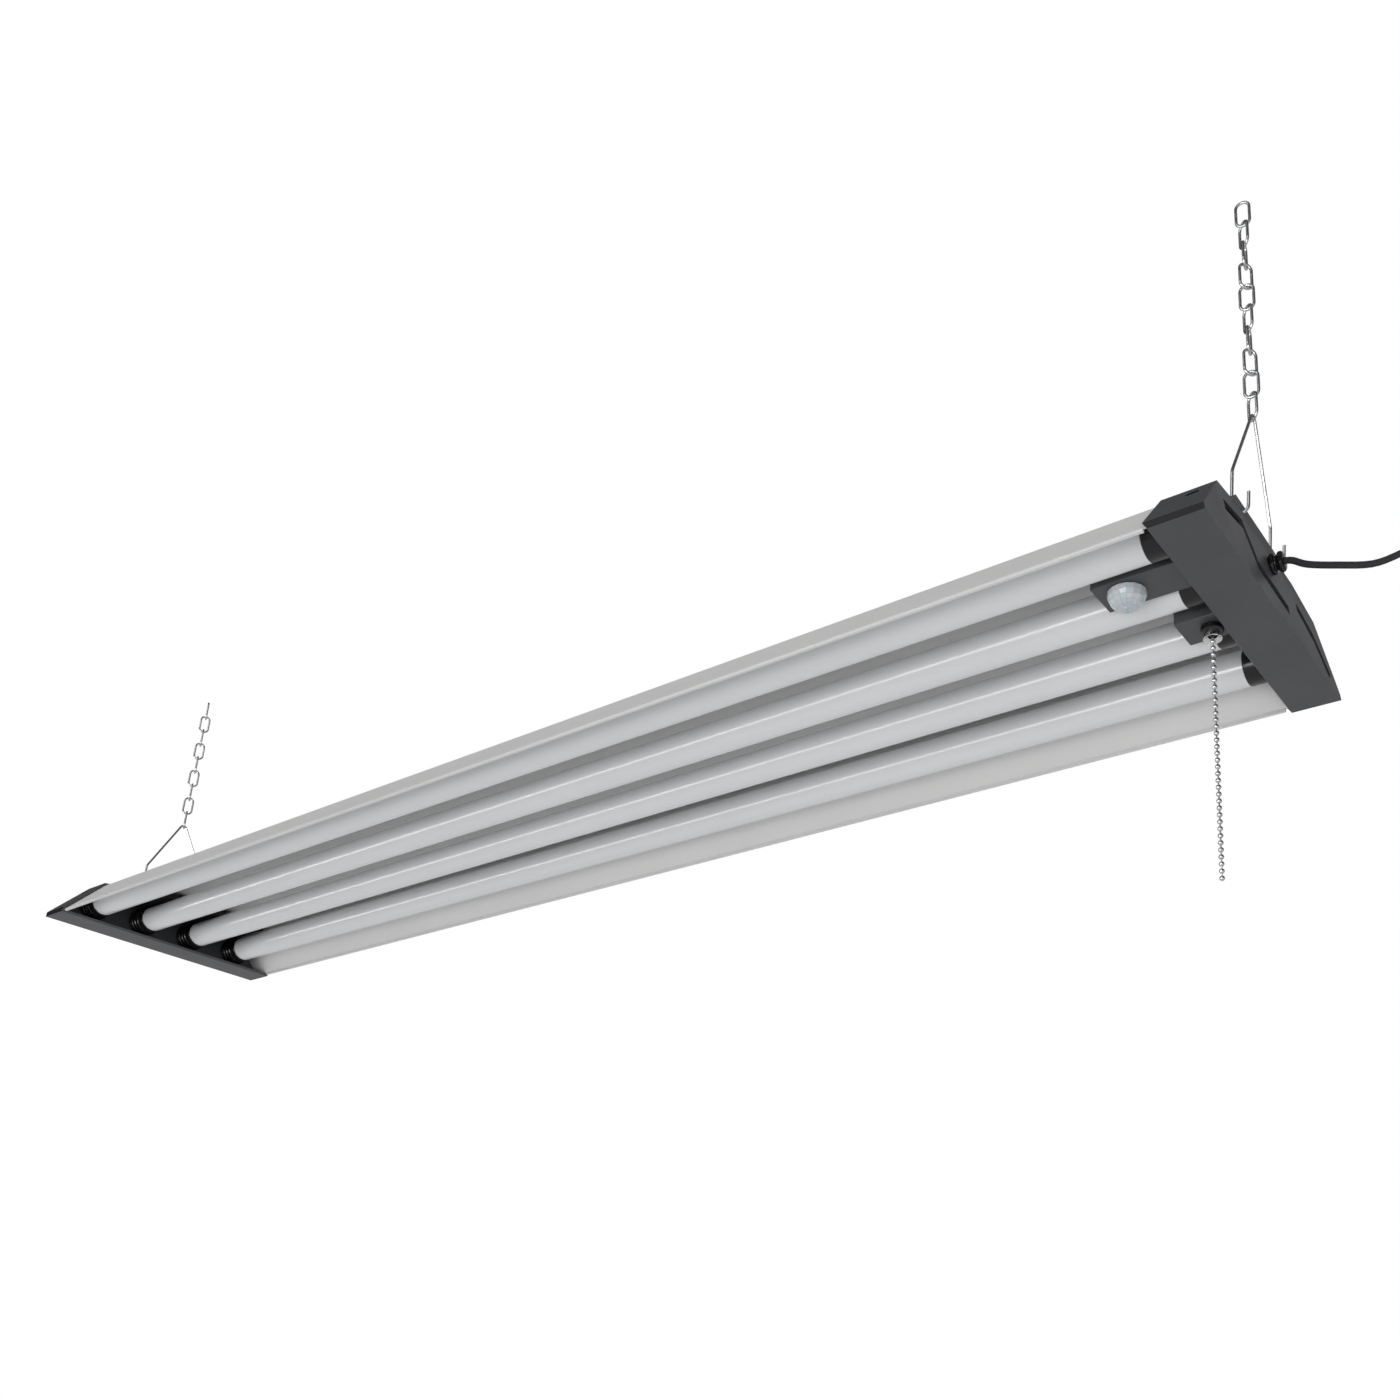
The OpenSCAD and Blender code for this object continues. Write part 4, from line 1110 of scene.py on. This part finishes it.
@dataclass
class PullSwitch:
    """Pull switch: housing, knurled nut, bell and bead chain."""

    x: float = 569.0
    nut_radius: float = 6.9
    nut_low: float = 1.2
    nut_high: float = 5.2
    knurl_step: float = 7.5  # degrees
    bell_hole: float = 2.7
    bead_pitch: float = 4.35
    bead_turns: range = range(-66, 67, 12)  # degrees
    wire_radius: float = 0.45

    def nut(self) -> None:
        """Ring nut with a knurled edge and a bore for the bell."""
        r, deep = self.nut_radius - 0.3, self.nut_high - self.nut_low
        piece = Bench.turned("ring_nut", [
            (r - 0.5, 0.0), (r, 0.4), (r, deep - 0.9), (r - 0.4, deep - 0.4), (r - 0.9, deep)],
            sides=48, bore=(4.6, 1.6))

        def ridge(c: Vector, n: Vector) -> bool:
            """Pick every other face of the nut's edge."""
            outer = abs(n.z) < 0.2 and math.hypot(c.x, c.y) > (r - 0.3) * MM
            return outer and Bench.around_z(c, self.knurl_step) % 2 == 0

        with Bench.editing(piece):
            Bench.pick(piece, ridge)
            Bench.inset(0.08, 0.3, each=True)
        Bench.smooth(piece, 25.0)
        Bench.put(piece, moved(self.x, 0, self.nut_high) @ UPSIDE_DOWN)
        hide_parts("switch_nut")
        dress(piece, GLOSS_BLACK, "fixture")

    def bell(self) -> None:
        """Bell mouth: a neck under the nut, a rolled rim and a shallow funnel round the chain, with
        painted shade in its bore.
        """
        low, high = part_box("switch_bell")
        middle = (low + high) / 2
        r, tall = (high.x - low.x) / 2 / MM, (high.z - low.z) / MM
        piece = Bench.turned("bell_mouth", [
            (r - 1.3, 0.0), (r - 1.3, tall - 1.7), (r - 0.7, tall - 1.0), (r - 0.1, tall - 0.5),
            (r, tall - 0.25), (r - 0.2, tall), (r - 0.5, tall - 0.1), (r - 0.8, tall - 0.5),
            (self.bell_hole + 0.3, tall - 1.5), (self.bell_hole, tall - 1.8),
            (self.bell_hole, tall - 2.6)])
        Bench.smooth(piece)
        top = Vector((middle.x, middle.y, high.z))
        Bench.put(piece, Matrix.Translation(top) @ UPSIDE_DOWN)
        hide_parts("switch_bell")
        dress(piece, CHROME, "fixture")
        # The faces round the bore take gloss black: painted shade inside the chrome bell's hole
        piece.data.materials.append(GLOSS_BLACK.material())
        for face in piece.data.polygons:
            if (face.center.xy - middle.xy).length < (self.bell_hole + 0.1) * MM:
                face.material_index = 1

    def beads(self) -> None:
        """Bead chain: one bead with a rim at both its holes, copied down a thin wire."""
        low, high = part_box("bead_chain")
        start = middle_of("chain_coupler")
        radius = (high.x - low.x) / 2 / MM
        last = low.z + radius * MM
        count = round((start.z - last) / (self.bead_pitch * MM))
        turns = [math.radians(a) for a in self.bead_turns]
        hole = radius * math.cos(turns[0]) * 0.95
        arc = [(radius * math.cos(a), radius * math.sin(a)) for a in turns]
        pattern = Bench.turned(
            "bead_pattern", [(hole * 0.8, -radius), *arc, (hole * 0.8, radius)], sides=20)
        Bench.smooth(pattern, 50.0)
        for k in range(1, count + 1):
            place = Vector((start.x, start.y, start.z - k * self.bead_pitch * MM))
            bead = Bench.copied(pattern, f"bead_{k:02d}", Matrix.Translation(place))
            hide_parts("bead_chain")
            dress(bead, NICKEL, "pull_chain")
        bpy.data.objects.remove(pattern)
        r, foot, head = self.wire_radius, last / MM, high.z / MM
        wire = Bench.turned("bead_wire", [
            (r * 0.7, foot), (r, foot + 0.3), (r, head - 0.3), (r * 0.7, head)], sides=16)
        Bench.smooth(wire, 50.0)
        Bench.put(wire, Matrix.Translation(Vector((start.x, start.y, 0.0))))
        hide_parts("bead_chain")
        dress(wire, NICKEL, "pull_chain")

    def build(self) -> None:
        """Make the nut, the bell and the bead chain, soften the housing and dress the rest."""
        cover = Bench.softened("switch_housing", "switch_cover", 0.5)
        dress(cover, CHARCOAL, "fixture")
        self.nut()
        self.bell()
        coat(SOFT_BLACK, "switch_body")
        coat(STEEL_SCREW, "switch_actuator")
        coat(NICKEL, "chain_coupler")
        self.beads()


class Suspension:
    """Wire hangers and link chains."""

    def build(self) -> None:
        """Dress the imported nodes."""
        for side in ("left", "right"):
            coat(ZINC, f"hanger_{side}", f"chain_{side}", f"upper_link_{side}",
                 f"top_link_{side}")


def main() -> None:
    """Build the picture in order: studio and cord first, then the light."""
    logging.basicConfig(level=logging.INFO, format="%(name)s: %(message)s")
    for maker in (Studio(), CordSet(), Reflector(), EndCaps(), Tubes(), Sensor(), PullSwitch(),
                  Suspension()):
        LOG.info("building %s", type(maker).__name__)
        maker.build()
    Bench.clear()


if __name__ == "__main__":
    main()
